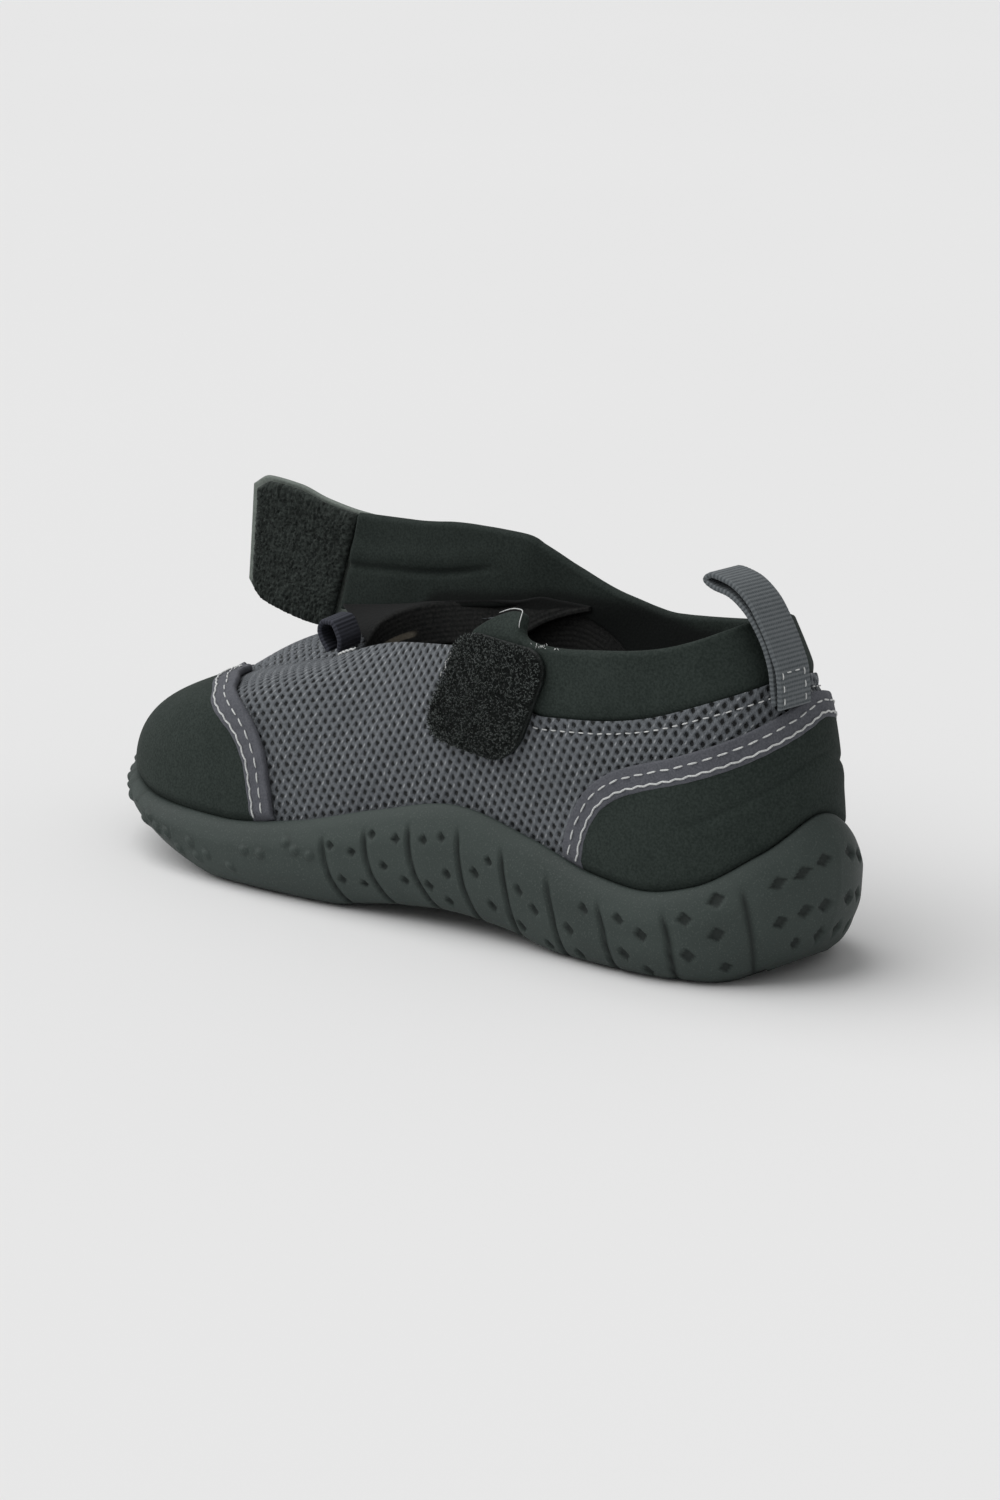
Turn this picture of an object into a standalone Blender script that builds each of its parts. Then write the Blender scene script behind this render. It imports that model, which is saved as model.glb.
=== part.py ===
# Left water shoe: rubber cup sole, mesh upper, neoprene toe cap, counter, collar and strap.
# Millimetres in the tables. X runs from heel to toe, Y to the wearer's left, Z up, the floor at Z = 0.
import bpy
import numpy as np

MM = 0.001

# Driving sizes
LENGTH = 191.0           # 100 in the x columns below, from the back of the heel
BALL_WIDTH = 72.0        # of the sole, which is 100 in the y columns
HEEL_HEIGHT = 71.5       # of the collar's top edge at the back, which is 100 in the top z column
GAP = 0.3                # between pieces that lie on each other
RIM_GAP = 0.4            # between the sole's rim, or the mesh's edge, and what stands above it

# Wall and layer thicknesses
UPPER_WALL = 2.0
COLLAR_WALL = 2.6
INSOLE_THICK = 3.0
OVERLAY_THICK = 1.2
BAND_THICK = 1.5
HOOK_THICK = 1.8
TAB_THICK = 1.3
LOOP_PAD_THICK = 2.4
WEBBING_THICK = 1.2

# Widths of the tapes
TOE_BAND_WIDTH = 6.4
COUNTER_BAND_WIDTH = 4.8
HEEL_LOOP_WIDTH = 10.0
THROAT_LOOP_WIDTH = 8.5

# Points of the grids: along, then up or across
UPPER_GRID = (72, 10)
COLLAR_GRID = (54, 6)
STRAP_POINTS = 10
INSOLE_GRID = (24, 3)
TOE_POINTS = 41
HEEL_POINTS = 45
OVERLAY_ROWS = 6
SOLE_COLUMNS = 29        # plain columns on each side, before those of the grooves
INNER_RINGS = (0.0, 0.5, 0.98)    # shares of the cup's inner wall
FLOOR_LINES = (0.5,)        # shares of the width at which the inner floor has points
TREAD_LINES = (0.5,)   # and the tread

# Sections of the last, a row for each, from the toe round the lateral side to the heel and back.
# Columns: foot x (% of length), foot y (% of ball width), top x, top y, top z (% of heel height),
# wall angle at the foot and at the top edge (degrees from flat, over 90 leans outwards),
# and how far the section keeps each of those directions (shares of its span).
SECTIONS = {
    "toe": (97.6, -4.2, 67.4, 3.0, 63.8, 106, 8, 0.2, 0.333),
    "toe_lateral": (95.1, 20.2, 66.6, 11.8, 65.0, 98, 14, 0.26, 0.39),
    "front_lateral": (84.8, 38.9, 61.8, 16.7, 70.6, 92, 25, 0.32, 0.38),
    "ball_lateral": (68.1, 43.8, 54.9, 20.1, 76.2, 90, 50, 0.36, 0.34),
    "waist_lateral": (50.7, 38.9, 44.0, 26.4, 81.1, 92, 72, 0.36, 0.34),
    "quarter_lateral": (32.5, 33.3, 29.3, 29.9, 86.7, 94, 90, 0.34, 0.34),
    "heel_lateral": (15.7, 31.3, 17.3, 27.8, 90.9, 96, 96, 0.34, 0.34),
    "counter_lateral": (6.0, 19.4, 11.0, 17.4, 97.2, 96, 66, 0.34, 0.34),
    "heel": (2.3, 0.0, 9.4, 0.0, 100.0, 94, 56, 0.38, 0.34),
    "counter_medial": (6.0, -19.4, 11.0, -17.4, 97.2, 96, 66, 0.34, 0.34),
    "heel_medial": (15.7, -30.6, 17.3, -27.1, 90.9, 96, 96, 0.34, 0.34),
    "quarter_medial": (32.5, -29.9, 29.3, -28.5, 87.3, 94, 90, 0.34, 0.34),
    "waist_medial": (50.7, -30.6, 44.0, -26.4, 83.9, 90, 76, 0.36, 0.34),
    "ball_medial": (69.6, -41.0, 54.9, -22.6, 78.2, 88, 58, 0.36, 0.34),
    "front_medial": (85.4, -41.4, 63.2, -18.6, 74.5, 93, 38, 0.30, 0.37),
    "toe_medial": (94.8, -27.1, 67.5, -7.0, 70.3, 100.4, 4.4, 0.205, 0.41),
}
ROUND = len(SECTIONS)
HALF = ROUND // 2

# Heights along the shoe: x, height
INNER_FLOOR = ((-5, 9.0), (30, 8.5), (60, 9.5), (85, 9.5), (112, 7.0), (140, 7.0), (165, 9.8),
               (180, 13.4), (196, 18.6))
GROUND = ((-4, 10.6), (5, 4.3), (10, 1.7), (16, 0), (50, 0), (64, 2.2), (80, 3.4), (96, 2.2), (110, 0),
          (140, 0), (152, 2.4), (165, 7.0), (180, 12.4), (196, 18.0))

# Wavy rim of the sole: section number from the toe, height
RIM = ((-0.5, 18.4), (0, 20.4), (0.5, 18.4), (1, 15.9), (2, 13.2), (2.7, 13.6), (3.3, 16.8), (3.9, 22.5),
       (4.5, 26.9), (5.1, 23.2), (5.6, 19.0), (6, 17.8), (6.5, 20.0), (7.2, 27.0), (8, 33.6), (8.8, 27.0))

# Side of the sole: share of its height, how far it stands out past the rim, share of the groove's depth
SOLE_SIDE = ((1.0, 0, 0), (0.97, 1.0, 0), (0.86, 2.4, 0.2), (0.64, 3.6, 1), (0.4, 3.6, 1), (0.18, 2.5, 1),
             (0.05, 0.6, 1), (0.0, -2.0, 1))
CUP_EDGE = 1.2           # how far the rim stands out from the last
BULGE_SHARE = ((0, 0.05), (1, 0.25), (2.2, 1.0), (6.4, 1.0), (8, 1.27))  # section from the toe, share of that
SLANT = 0.17             # lean of the side grooves, in sections over the side's height
SLANT_SHARE = ((0, 0), (0.6, 0), (2.1, 1), (7.3, 1), (7.9, 0), (8, 0))  # section from the toe, share of that
SLANT_MIDDLE = 0.4       # share of the side's height about which the grooves lean
GROOVE_DEPTH = 1.2
TREAD_DEPTH = 1.8
GROOVE_HALF = 1.3        # half the width of a groove
GROOVE_FLOOR = 0.5       # share of that half-width at the groove's floor
GROOVE_CLEAR = 0.12      # sections from a groove's middle to the nearest plain column
SPEED_STEP = 0.1         # sections over which the outline's speed is measured
SIDE_GROOVES = 8
SIDE_GROOVE_X = (106.0, 10.3, 0.24)  # first groove, step to the next, growth of the step
HEEL_GROOVE = 7.08       # section number of the groove at the heel's corner
TOE_GROOVE_X = (117.0, 129.0, 141.0, 153.0, 165.0)

# Mesh edge below the collar's top edge: section number from the toe, drop
SEAM_DROP = ((0, 0), (3.95, 0), (4.3, 3.0), (4.7, 11.0), (5.0, 13.8), (5.4, 14.0), (6.0, 13.4),
             (6.8, 12.4), (8.0, 11.2))

# Collar above the last's top edge: section number, rise. It runs from the lateral corner to the medial flap
COLLAR_RISE = ((4.0, 0), (4.2, 4.4), (4.3, 6.6), (4.48, 8.8), (4.58, 7.0), (4.66, 4.4), (4.77, 2.3),
               (4.95, 0.7), (5.3, 0), (11.0, 0), (11.5, 3.0), (12.0, 8.8), (12.25, 12.4), (12.5, 15.6))
COLLAR_FROM = 4.14
COLLAR_TO = 12.5
COLLAR_INSET = 0.3       # of its outer face from the last

# Strap in front of the collar: foot x, foot z, top x, top z
STRAP = ((104, 56.6, 103, 73.8), (114, 55.0, 113, 73.7), (128, 53.2, 126, 72.4), (139, 51.8, 136, 72.0),
         (148.5, 50.6, 143.2, 71.8))
LOOP_PAD = ((152.4, 44.6, 144.0, 71.2), (159, 45.2, 153, 72.5), (167, 46.8, 161, 74.6),
            (172.5, 48.8, 168.5, 75.3), (174.6, 52.0, 172.7, 73.4))
STRAP_TAB = ((140, 56.0, 136, 71.0), (152, 44.2, 145, 71.6), (160, 44.6, 154, 73.1), (168, 46.2, 162, 75.3),
             (174.0, 48.6, 170.4, 75.9), (176.2, 52.0, 174.6, 73.6))
STRAP_FACE = ((94, -17.0), (104, -17.0), (114, -16.7), (128, -16.2), (144, -15.4), (160, -14.2), (178, -13.0))

# Middle of the tapes: section number, share of the way up the last. The toe's runs lower on the medial side
TOE_BAND = ((-3.06, 0.12), (-2.93, 0.16), (-2.67, 0.21), (-2.3, 0.255), (-1.8, 0.295), (-1.2, 0.325),
            (-0.8, 0.347), (-0.5, 0.385), (-0.2, 0.445), (0.1, 0.513), (0.4, 0.578), (0.7, 0.626),
            (1.1, 0.634), (1.5, 0.592), (2.23, 0.502), (2.67, 0.384), (2.93, 0.238), (3.06, 0.12))
COUNTER_BAND = ((5.42, 0.14), (5.45, 0.31), (5.57, 0.455), (5.84, 0.535), (6.52, 0.59), (7.3, 0.625),
                (7.7, 0.645), (8.0, 0.664), (8.35, 0.686), (8.8, 0.675), (9.48, 0.62), (10.16, 0.545),
                (10.43, 0.46), (10.55, 0.31), (10.58, 0.14))

# Hook pad on the lateral quarter: corner x and z
HOOK_PAD = {
    "top_front": (81.6, 62.2),
    "top_back": (54.8, 61.6),
    "foot_back": (64.0, 36.8),
    "foot_front": (88.0, 39.8),
}
HOOK_ROUND = 0.26       # share of the pad's side taken by each round corner
HOOK_CORNER = (0, 0.2, 0.55)      # shares of a round corner at which it has points

# Webbing loops as seen from the side: x, z
HEEL_LOOP = ((7.2, 56.2), (7.4, 59.4), (7.9, 63.0), (9.4, 66.6), (12.1, 71.5), (15.6, 76.1), (20.6, 79.2),
             (25.0, 80.0), (26.6, 78.9), (24.6, 77.7), (20.8, 76.9), (16.6, 74.4), (13.4, 70.8),
             (10.9, 66.5), (9.6, 62.5), (9.2, 59.4), (8.7, 56.2))
HEEL_LOOP_Y = 4.2
HEEL_LOOP_POINTS = 40
THROAT_LOOP = ((128.2, 49.4), (128.8, 51.6), (131.0, 53.5), (134.2, 53.2), (135.8, 51.2), (134.6, 49.0))
THROAT_LOOP_FEET = (129.2, 132.0)  # x of the two ends, which rest on the toe section
THROAT_LOOP_POINTS = 18
THROAT_LOOP_Y = 4.4

COLOURS = {
    "rubber": ((0.043, 0.054, 0.048), 0.75),
    "mesh": ((0.115, 0.122, 0.135), 0.8),
    "neoprene": ((0.018, 0.024, 0.022), 0.85),
    "tape": ((0.090, 0.090, 0.112), 0.8),
    "hook": ((0.006, 0.007, 0.007), 0.7),
    "webbing": ((0.160, 0.175, 0.190), 0.8),
    "navy": ((0.040, 0.043, 0.058), 0.8),
    "foam": ((0.030, 0.033, 0.032), 0.9),
    "backing": ((0.150, 0.175, 0.160), 0.6),
}


def smooth(table, at):
    """Curve through (place, value) rows that never overshoots them."""
    place, value = np.array(table, float).T
    step = np.diff(place)
    slope = np.diff(value) / step
    rising = slope[:-1] * slope[1:] > 0
    before, after = 2 * step[1:] + step[:-1], step[1:] + 2 * step[:-1]
    tangent = np.concatenate([slope[:1], np.zeros(len(slope) - 1), slope[-1:]])
    weighed = before[rising] / slope[:-1][rising] + after[rising] / slope[1:][rising]
    tangent[1:-1][rising] = (before + after)[rising] / weighed
    at = np.clip(np.asarray(at, float), place[0], place[-1])
    i = np.clip(np.searchsorted(place, at) - 1, 0, len(step) - 1)
    t = (at - place[i]) / step[i]
    ends = value[i] * (1 + 2 * t) * (1 - t) ** 2 + value[i + 1] * t * t * (3 - 2 * t)
    return ends + step[i] * (tangent[i] * t * (1 - t) ** 2 - tangent[i + 1] * t * t * (1 - t))


def path(rows, count):
    """Smooth curve through the rows, with count points spread evenly along it."""
    rows = np.array(rows, float)
    along = np.concatenate([[0], np.cumsum(np.linalg.norm(np.diff(rows, axis=0), axis=1))])
    at = np.linspace(0, along[-1], count)
    return np.stack([smooth(np.column_stack([along, column]), at) for column in rows.T], -1)


def section_table():
    """The sections in millimetres, and the slopes of the closed smooth curve through each column."""
    scale = np.array([LENGTH, BALL_WIDTH, LENGTH, BALL_WIDTH, HEEL_HEIGHT, 100, 100, 100, 100]) / 100
    table = np.array(list(SECTIONS.values())) * scale
    near = np.eye(ROUND)
    system = 4 * near + np.roll(near, 1, 0) + np.roll(near, -1, 0)
    return table, np.linalg.solve(system, 3 * (np.roll(table, -1, 0) - np.roll(table, 1, 0)))


TABLE, SLOPES = section_table()


def section(turn):
    """The table's columns at any section number."""
    i = np.floor(turn).astype(int)
    t = (turn - i)[..., None]
    here, there = i % ROUND, (i + 1) % ROUND
    ends = TABLE[here] * (1 + 2 * t) * (1 - t) ** 2 + TABLE[there] * t * t * (3 - 2 * t)
    return ends + SLOPES[here] * t * (1 - t) ** 2 - SLOPES[there] * t * t * (1 - t)


def from_toe(turn):
    """Section number counted from the toe on either side."""
    turn = np.mod(turn, ROUND)
    return np.minimum(turn, ROUND - turn)


def outward(turn, first):
    """Level direction out of the outline whose x is column first."""
    step = section(turn + 0.02) - section(turn - 0.02)
    normal = np.stack([step[..., first + 1], -step[..., first]], -1)
    return normal / np.linalg.norm(normal, axis=-1, keepdims=True)


def wall_direction(turn, first, angle):
    """Way up the wall at an edge whose angle is in degrees, over 90 leaning outwards."""
    angle = np.radians(angle)[..., None]
    return np.concatenate([-np.cos(angle) * outward(turn, first), np.sin(angle)], -1)


def last_centre(turn, climb):
    """Point of the last: a Bezier curve for each section, from the feather edge to the top edge."""
    turn, climb = np.broadcast_arrays(np.asarray(turn, float), np.asarray(climb, float))
    row = section(turn)
    foot = np.stack([row[..., 0], row[..., 1], smooth(INNER_FLOOR, row[..., 0]) + GAP], -1)
    top = row[..., 2:5]
    span = np.linalg.norm(top - foot, axis=-1, keepdims=True)
    lower = foot + wall_direction(turn, 0, row[..., 5]) * span * row[..., 7:8]
    upper = top - wall_direction(turn, 2, row[..., 6]) * span * row[..., 8:9]
    t = climb[..., None]
    return foot * (1 - t) ** 3 + 3 * lower * t * (1 - t) ** 2 + 3 * upper * t * t * (1 - t) + top * t ** 3


def last(turn, climb, out=0.0):
    """Point of the last, moved out along its normal."""
    turn, climb = np.broadcast_arrays(np.asarray(turn, float), np.asarray(climb, float))
    step = 0.004
    across = last_centre(turn + step, climb) - last_centre(turn - step, climb)
    along = last_centre(turn, climb + step) - last_centre(turn, climb - step)
    normal = np.cross(across, along)
    normal /= np.linalg.norm(normal, axis=-1, keepdims=True)
    return last_centre(turn, climb) + normal * np.asarray(out)[..., None]


def climb_at(turn, height):
    """Share of the way up the last at which each section reaches a height."""
    turn, height = np.broadcast_arrays(np.asarray(turn, float), np.asarray(height, float))
    shares = np.linspace(0, 1, 81)
    heights = np.maximum.accumulate(last_centre(turn[..., None], shares)[..., 2], axis=-1)
    flat = [np.interp(h, hs, shares) for h, hs in zip(height.ravel(), heights.reshape(-1, len(shares)))]
    return np.array(flat).reshape(turn.shape)


def rim_height(turn):
    return smooth(RIM, from_toe(turn))


def seam_height(turn):
    """Top edge of the mesh: the throat's edge, then the seam below the collar."""
    return section(turn)[..., 4] - smooth(SEAM_DROP, from_toe(turn))


def material(name):
    made = bpy.data.materials.get(name) or bpy.data.materials.new(name)
    made.use_nodes = True
    shader = made.node_tree.nodes["Principled BSDF"]
    colour, roughness = COLOURS[name]
    shader.inputs["Base Color"].default_value = (*colour, 1)
    shader.inputs["Roughness"].default_value = roughness
    shader.inputs["Metallic"].default_value = 0
    return made


def add_object(name, points, faces, colour):
    """One closed or open mesh, in metres, under the shoe's empty."""
    mesh = bpy.data.meshes.new(name)
    mesh.from_pydata((np.reshape(points, (-1, 3)) * MM).tolist(), [], faces)
    mesh.materials.append(material(colour))
    mesh.shade_smooth()
    made = bpy.data.objects.new(name, mesh)
    parts.objects.link(made)
    made.parent = root
    return made


def grid_faces(rows, columns, ring=False):
    """Quads of a grid, rows round the shoe and columns upwards."""
    faces = []
    for r in range(rows if ring else rows - 1):
        after = (r + 1) % rows
        for c in range(columns - 1):
            faces.append((r * columns + c, after * columns + c, after * columns + c + 1, r * columns + c + 1))
    return faces


def add_sheet(name, grid, thickness, colour, ring=False, side=-1):
    """A surface given thickness: inwards with side -1, outwards with side 1."""
    rows, columns = grid.shape[:2]
    made = add_object(name, grid, grid_faces(rows, columns, ring), colour)
    solid = made.modifiers.new("Solidify", "SOLIDIFY")
    solid.thickness = thickness * MM
    solid.offset = side
    return made


def build_upper():
    """Mesh body: open at the collar, the throat and underneath."""
    along, up = UPPER_GRID
    turn = np.linspace(0, ROUND, along, endpoint=False)[:, None]
    share = np.linspace(0, 1, up)[None, :]
    climb = share * climb_at(turn, seam_height(turn))
    add_sheet("upper", last(turn, climb), UPPER_WALL, "mesh", ring=True)


def sole_columns():
    """Section number, side groove share and tread groove share of each column from the toe to the heel."""
    fine = np.linspace(0, HALF, 801)
    edge_x = section(fine)[:, 0]
    first, step, growth = SIDE_GROOVE_X
    count = np.arange(SIDE_GROOVES)
    side_x = first - step * count - growth * count ** 2
    grooves = [(np.interp(-x, -edge_x, fine), 1) for x in side_x]
    grooves += [(HEEL_GROOVE, 1)] + [(np.interp(-x, -edge_x, fine), 0) for x in TOE_GROOVE_X]
    columns = []
    for centre, side in grooves:
        ends = section(np.array([centre - 0.5 * SPEED_STEP, centre + 0.5 * SPEED_STEP]))[:, :2]
        half = GROOVE_HALF * SPEED_STEP / np.linalg.norm(ends[1] - ends[0])
        for place, depth in ((-1, 0), (-GROOVE_FLOOR, 1), (GROOVE_FLOOR, 1), (1, 0)):
            columns.append((centre + place * half, side * depth, depth))
    taken = np.array([c[0] for c in grooves])
    for t in np.linspace(0, HALF, SOLE_COLUMNS):
        if np.abs(taken - t).min() > GROOVE_CLEAR or t in (0, HALF):
            columns.append((t, 0, 0))
    return np.array(sorted(columns))


def slanted(turn, share):
    """Section number at a share of the side's height: the columns lean towards the toe as they rise."""
    way = np.where(np.mod(turn, ROUND) < HALF, -1, 1)
    return turn + way * SLANT * smooth(SLANT_SHARE, from_toe(turn)) * (share - SLANT_MIDDLE)


def sole_rows(turn, side_groove, tread_groove):
    """Rings of points from the inner floor up the inner wall, over the rim and down the side to the tread."""
    rings = []
    for share in INNER_RINGS:
        t = slanted(turn, share)
        floor = smooth(INNER_FLOOR, section(t)[:, 0])
        height = floor + share * (rim_height(t) - floor)
        ring = last(t, climb_at(t, height), RIM_GAP)
        ring[:, 2] = height
        rings.append(ring)
    for share, bulge, groove in SOLE_SIDE:
        t = slanted(turn, share)
        swell = smooth(BULGE_SHARE, from_toe(t)) if bulge > 0 else 1
        out = CUP_EDGE + bulge * swell - groove * GROOVE_DEPTH * side_groove
        foot_x = section(t)[:, 0] + out * outward(t, 0)[:, 0]
        ground = smooth(GROUND, foot_x)
        height = ground + share * (rim_height(t) - ground)
        wall = last_centre(t, climb_at(t, height))
        plan = wall[:, :2] + out[:, None] * outward(t, 0)
        rings.append(np.column_stack([plan, height]))
    rings[-1][:, 2] += TREAD_DEPTH * tread_groove
    return rings


def cross_lines(ring, shares, height):
    """Points across the shoe between the two sides of a ring, one row for each pair of its points."""
    n = len(ring)
    left, right = ring[1:n // 2], ring[:n // 2:-1]
    lines = left[:, None] + (right - left)[:, None] * np.array(shares)[None, :, None]
    lines[..., 2] = height(lines[..., 0])
    return lines


def cap_faces(ring, lines, n, across, upwards):
    """Faces that close a ring, given its first vertex and the first vertex of its cross lines."""
    def vertex(k, c):
        if c == 0:
            return ring + k
        return ring + n - k if c == across + 1 else lines + (k - 1) * across + c - 1
    faces = []
    for c in range(across + 1):
        faces.append((ring, vertex(1, c), vertex(1, c + 1)))
        faces.append((ring + n // 2, vertex(n // 2 - 1, c + 1), vertex(n // 2 - 1, c)))
        for k in range(1, n // 2 - 1):
            faces.append((vertex(k, c), vertex(k + 1, c), vertex(k + 1, c + 1), vertex(k, c + 1)))
    return faces if upwards else [face[::-1] for face in faces]


def build_outsole():
    """Cup sole: rings joined round the side, closed by the inner floor and the tread."""
    half = sole_columns()
    turn = np.concatenate([half[:, 0], ROUND - half[-2:0:-1, 0]])
    side_groove = np.concatenate([half[:, 1], half[-2:0:-1, 1]])
    tread_groove = np.concatenate([half[:, 2], half[-2:0:-1, 2]])
    n = len(turn)
    rings = sole_rows(turn, side_groove, tread_groove)
    lift = TREAD_DEPTH * tread_groove[1:n // 2, None]
    floor = cross_lines(rings[0], FLOOR_LINES, lambda x: smooth(INNER_FLOOR, x))
    tread = cross_lines(rings[-1], TREAD_LINES, lambda x: smooth(GROUND, x) + lift)
    faces = []
    for j in range(len(rings) - 1):
        for k in range(n):
            after = (k + 1) % n
            faces.append((j * n + k, (j + 1) * n + k, (j + 1) * n + after, j * n + after))
    first_line = len(rings) * n
    faces += cap_faces(0, first_line, n, len(FLOOR_LINES), True)
    tread_line = first_line + floor.shape[0] * floor.shape[1]
    faces += cap_faces((len(rings) - 1) * n, tread_line, n, len(TREAD_LINES), False)
    points = np.concatenate([np.concatenate(rings), floor.reshape(-1, 3), tread.reshape(-1, 3)])
    add_object("outsole", points, faces, "rubber")


def build_insole():
    """Foam sheet inside the upper, resting on the sole's floor."""
    along, across = INSOLE_GRID
    turn = np.linspace(0.35, HALF - 0.45, along)
    inset = -(UPPER_WALL + 3 * GAP)
    near = last(turn, 0, inset)
    far = last(ROUND - turn, 0, inset)
    share = np.linspace(0, 1, across)[None, :, None]
    grid = near[:, None] + (far - near)[:, None] * share
    grid[..., 2] = smooth(INNER_FLOOR, grid[..., 0]) + GAP + INSOLE_THICK
    add_sheet("insole", grid, INSOLE_THICK, "foam")


def tape(rows, width, count):
    """Centre and edges of a tape on the last: section numbers and climbs for each of three lines."""
    middle = path(rows, count)
    turn, climb = middle[:, 0], middle[:, 1]
    step = 0.01
    across = (last(turn + step, climb) - last(turn - step, climb)) / (2 * step)
    along = (last(turn, climb + step) - last(turn, climb - step)) / (2 * step)
    change = np.gradient(middle, axis=0)
    way = change[:, :1] * across + change[:, 1:] * along
    normal = np.cross(across, along)
    side = np.cross(normal, way)
    side /= np.linalg.norm(side, axis=1, keepdims=True)
    lines = []
    for share in (-0.5, 0, 0.5):
        shift = [np.linalg.lstsq(np.column_stack(pair), s * width * share, rcond=None)[0]
                 for *pair, s in zip(across, along, side)]
        lines.append(middle + np.array(shift))
    return lines


def above_rim(turn, climb):
    """The climb, kept clear of the sole's rim."""
    return np.maximum(climb, climb_at(turn, rim_height(turn) + RIM_GAP))


def build_taped_overlay(overlay, band, rows, width, count):
    """An overlay from the rim to a tape's lower edge, and the tape."""
    lines = tape(rows, width, count)
    grid = [last(turn, above_rim(turn, climb), GAP) for turn, climb in (line.T for line in lines)]
    add_sheet(band, np.stack(grid, 1), BAND_THICK, "tape", side=1)
    turn, climb = tape(rows, width + 2 * GAP, count)[0].T
    foot = above_rim(turn, 0)
    tall = climb - foot > 0.012
    turn, climb, foot = turn[tall], climb[tall], foot[tall]
    share = np.linspace(0, 1, OVERLAY_ROWS)[None, :]
    climbs = foot[:, None] + (climb - foot)[:, None] * share
    add_sheet(overlay, last(turn[:, None], climbs, GAP), OVERLAY_THICK, "neoprene", side=1)


def collar_sections():
    """Outer face of the collar on the last, from the lateral corner round the heel to the medial flap."""
    along, up = COLLAR_GRID
    turn = np.linspace(COLLAR_FROM, COLLAR_TO, along)[:, None]
    share = np.linspace(0, 1, up)[None, :]
    low = seam_height(turn) + RIM_GAP
    top = section(turn)[..., 4]
    height = low + share * (top - low + smooth(COLLAR_RISE, turn))
    points = last(turn, climb_at(turn, np.minimum(height, top)), -COLLAR_INSET)
    points[..., 2] += np.maximum(height - top, 0)
    return points


def strap_face(x):
    return smooth(STRAP_FACE, x)


def upright(rows, count, columns, shift=0.0):
    """Upright sheet along the strap from (foot x, foot z, top x, top z) rows."""
    line = path(rows, count)
    share = np.linspace(0, 1, columns)[None, :]
    x = line[:, :1] + (line[:, 2:3] - line[:, :1]) * share
    z = line[:, 1:2] + (line[:, 3:4] - line[:, 1:2]) * share
    return np.stack([x, strap_face(x) + shift, z], -1)


def build_collar():
    """Neoprene collar with the flap that runs on as the strap."""
    ring = collar_sections()
    strap = upright(STRAP, STRAP_POINTS, ring.shape[1])
    add_sheet("collar", np.concatenate([ring, strap]), COLLAR_WALL, "neoprene")


def build_strap_end():
    """Loop pad on the strap's inner face and the tab behind it."""
    add_sheet("loop_pad", upright(LOOP_PAD, 9, 6), LOOP_PAD_THICK, "hook")
    add_sheet("strap_tab", upright(STRAP_TAB, 11, 6, -GAP), TAB_THICK, "backing", side=1)


def on_side(x, z, out):
    """Point off the lateral wall at a given x and z: above the last's top edge it goes straight up."""
    turn = np.linspace(3, 7, 161)
    climb = climb_at(turn, z)
    along = last(turn, climb)[:, 0]
    found = np.interp(-x, -along, turn)
    point = last(found, np.interp(found, turn, climb), out)
    point[2] += max(z - section(found)[4], 0)
    return point


def build_hook_pad():
    """Hook pad: a four-sided patch with round corners, lying on the lateral quarter."""
    corner = {name: np.array(place) for name, place in HOOK_PAD.items()}
    corner_at = np.array(HOOK_CORNER) * HOOK_ROUND
    across = np.concatenate([corner_at, np.linspace(HOOK_ROUND, 1 - HOOK_ROUND, 4), 1 - corner_at[::-1]])
    end = np.minimum(across, 1 - across) / HOOK_ROUND
    inset = np.where(end < 1, HOOK_ROUND * (1 - np.sqrt(1 - (1 - np.minimum(end, 1)) ** 2)), 0)
    grid = []
    for a, cut in zip(across, inset):
        line = []
        for share in np.linspace(cut, 1 - cut, 6):
            foot = corner["foot_front"] * (1 - a) + corner["foot_back"] * a
            top = corner["top_front"] * (1 - a) + corner["top_back"] * a
            line.append(on_side(*(foot + (top - foot) * share), 2 * GAP))
        grid.append(line)
    add_sheet("hook_pad", np.array(grid), HOOK_THICK, "hook", side=1)


def webbing(name, rows, count, width, colour, y=0.0):
    """Folded webbing: a strip along the rows, seen from the side, spread across the shoe."""
    line = path(rows, count)
    edges = [np.stack([line[:, 0], np.full(count, y + a), line[:, 1]], -1) for a in (-width / 2, width / 2)]
    grid = np.stack(edges, 1)
    add_sheet(name, grid, WEBBING_THICK, colour, side=0)


def build_loops():
    """Pull loop on the back of the heel and the small loop at the front of the throat."""
    webbing("heel_loop", HEEL_LOOP, HEEL_LOOP_POINTS, HEEL_LOOP_WIDTH, "webbing", HEEL_LOOP_Y)
    crown = last(0, np.linspace(1, 0.5, 60))
    feet = [(x, np.interp(x, crown[:, 0], crown[:, 2]) + 6 * GAP) for x in THROAT_LOOP_FEET]
    rows = feet[:1] + list(THROAT_LOOP) + feet[1:]
    webbing("throat_loop", rows, THROAT_LOOP_POINTS, THROAT_LOOP_WIDTH, "navy", THROAT_LOOP_Y)


def centre_on_floor():
    """Moves the empty so that the shoe's box is centred on the origin, its sole on Z = 0."""
    bpy.context.view_layer.update()
    graph = bpy.context.evaluated_depsgraph_get()
    corners = []
    for made in parts.objects:
        if made.type == "MESH":
            evaluated = made.evaluated_get(graph)
            corners += [tuple(v.co) for v in evaluated.to_mesh().vertices]
            evaluated.to_mesh_clear()
    corners = np.array(corners)
    low, high = corners.min(axis=0), corners.max(axis=0)
    root.location = (-(low[0] + high[0]) / 2, -(low[1] + high[1]) / 2, -low[2])


for old in list(bpy.data.objects):
    bpy.data.objects.remove(old)

parts = bpy.data.collections.new("water_shoe")
bpy.context.scene.collection.children.link(parts)
root = bpy.data.objects.new("water_shoe", None)
parts.objects.link(root)

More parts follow.
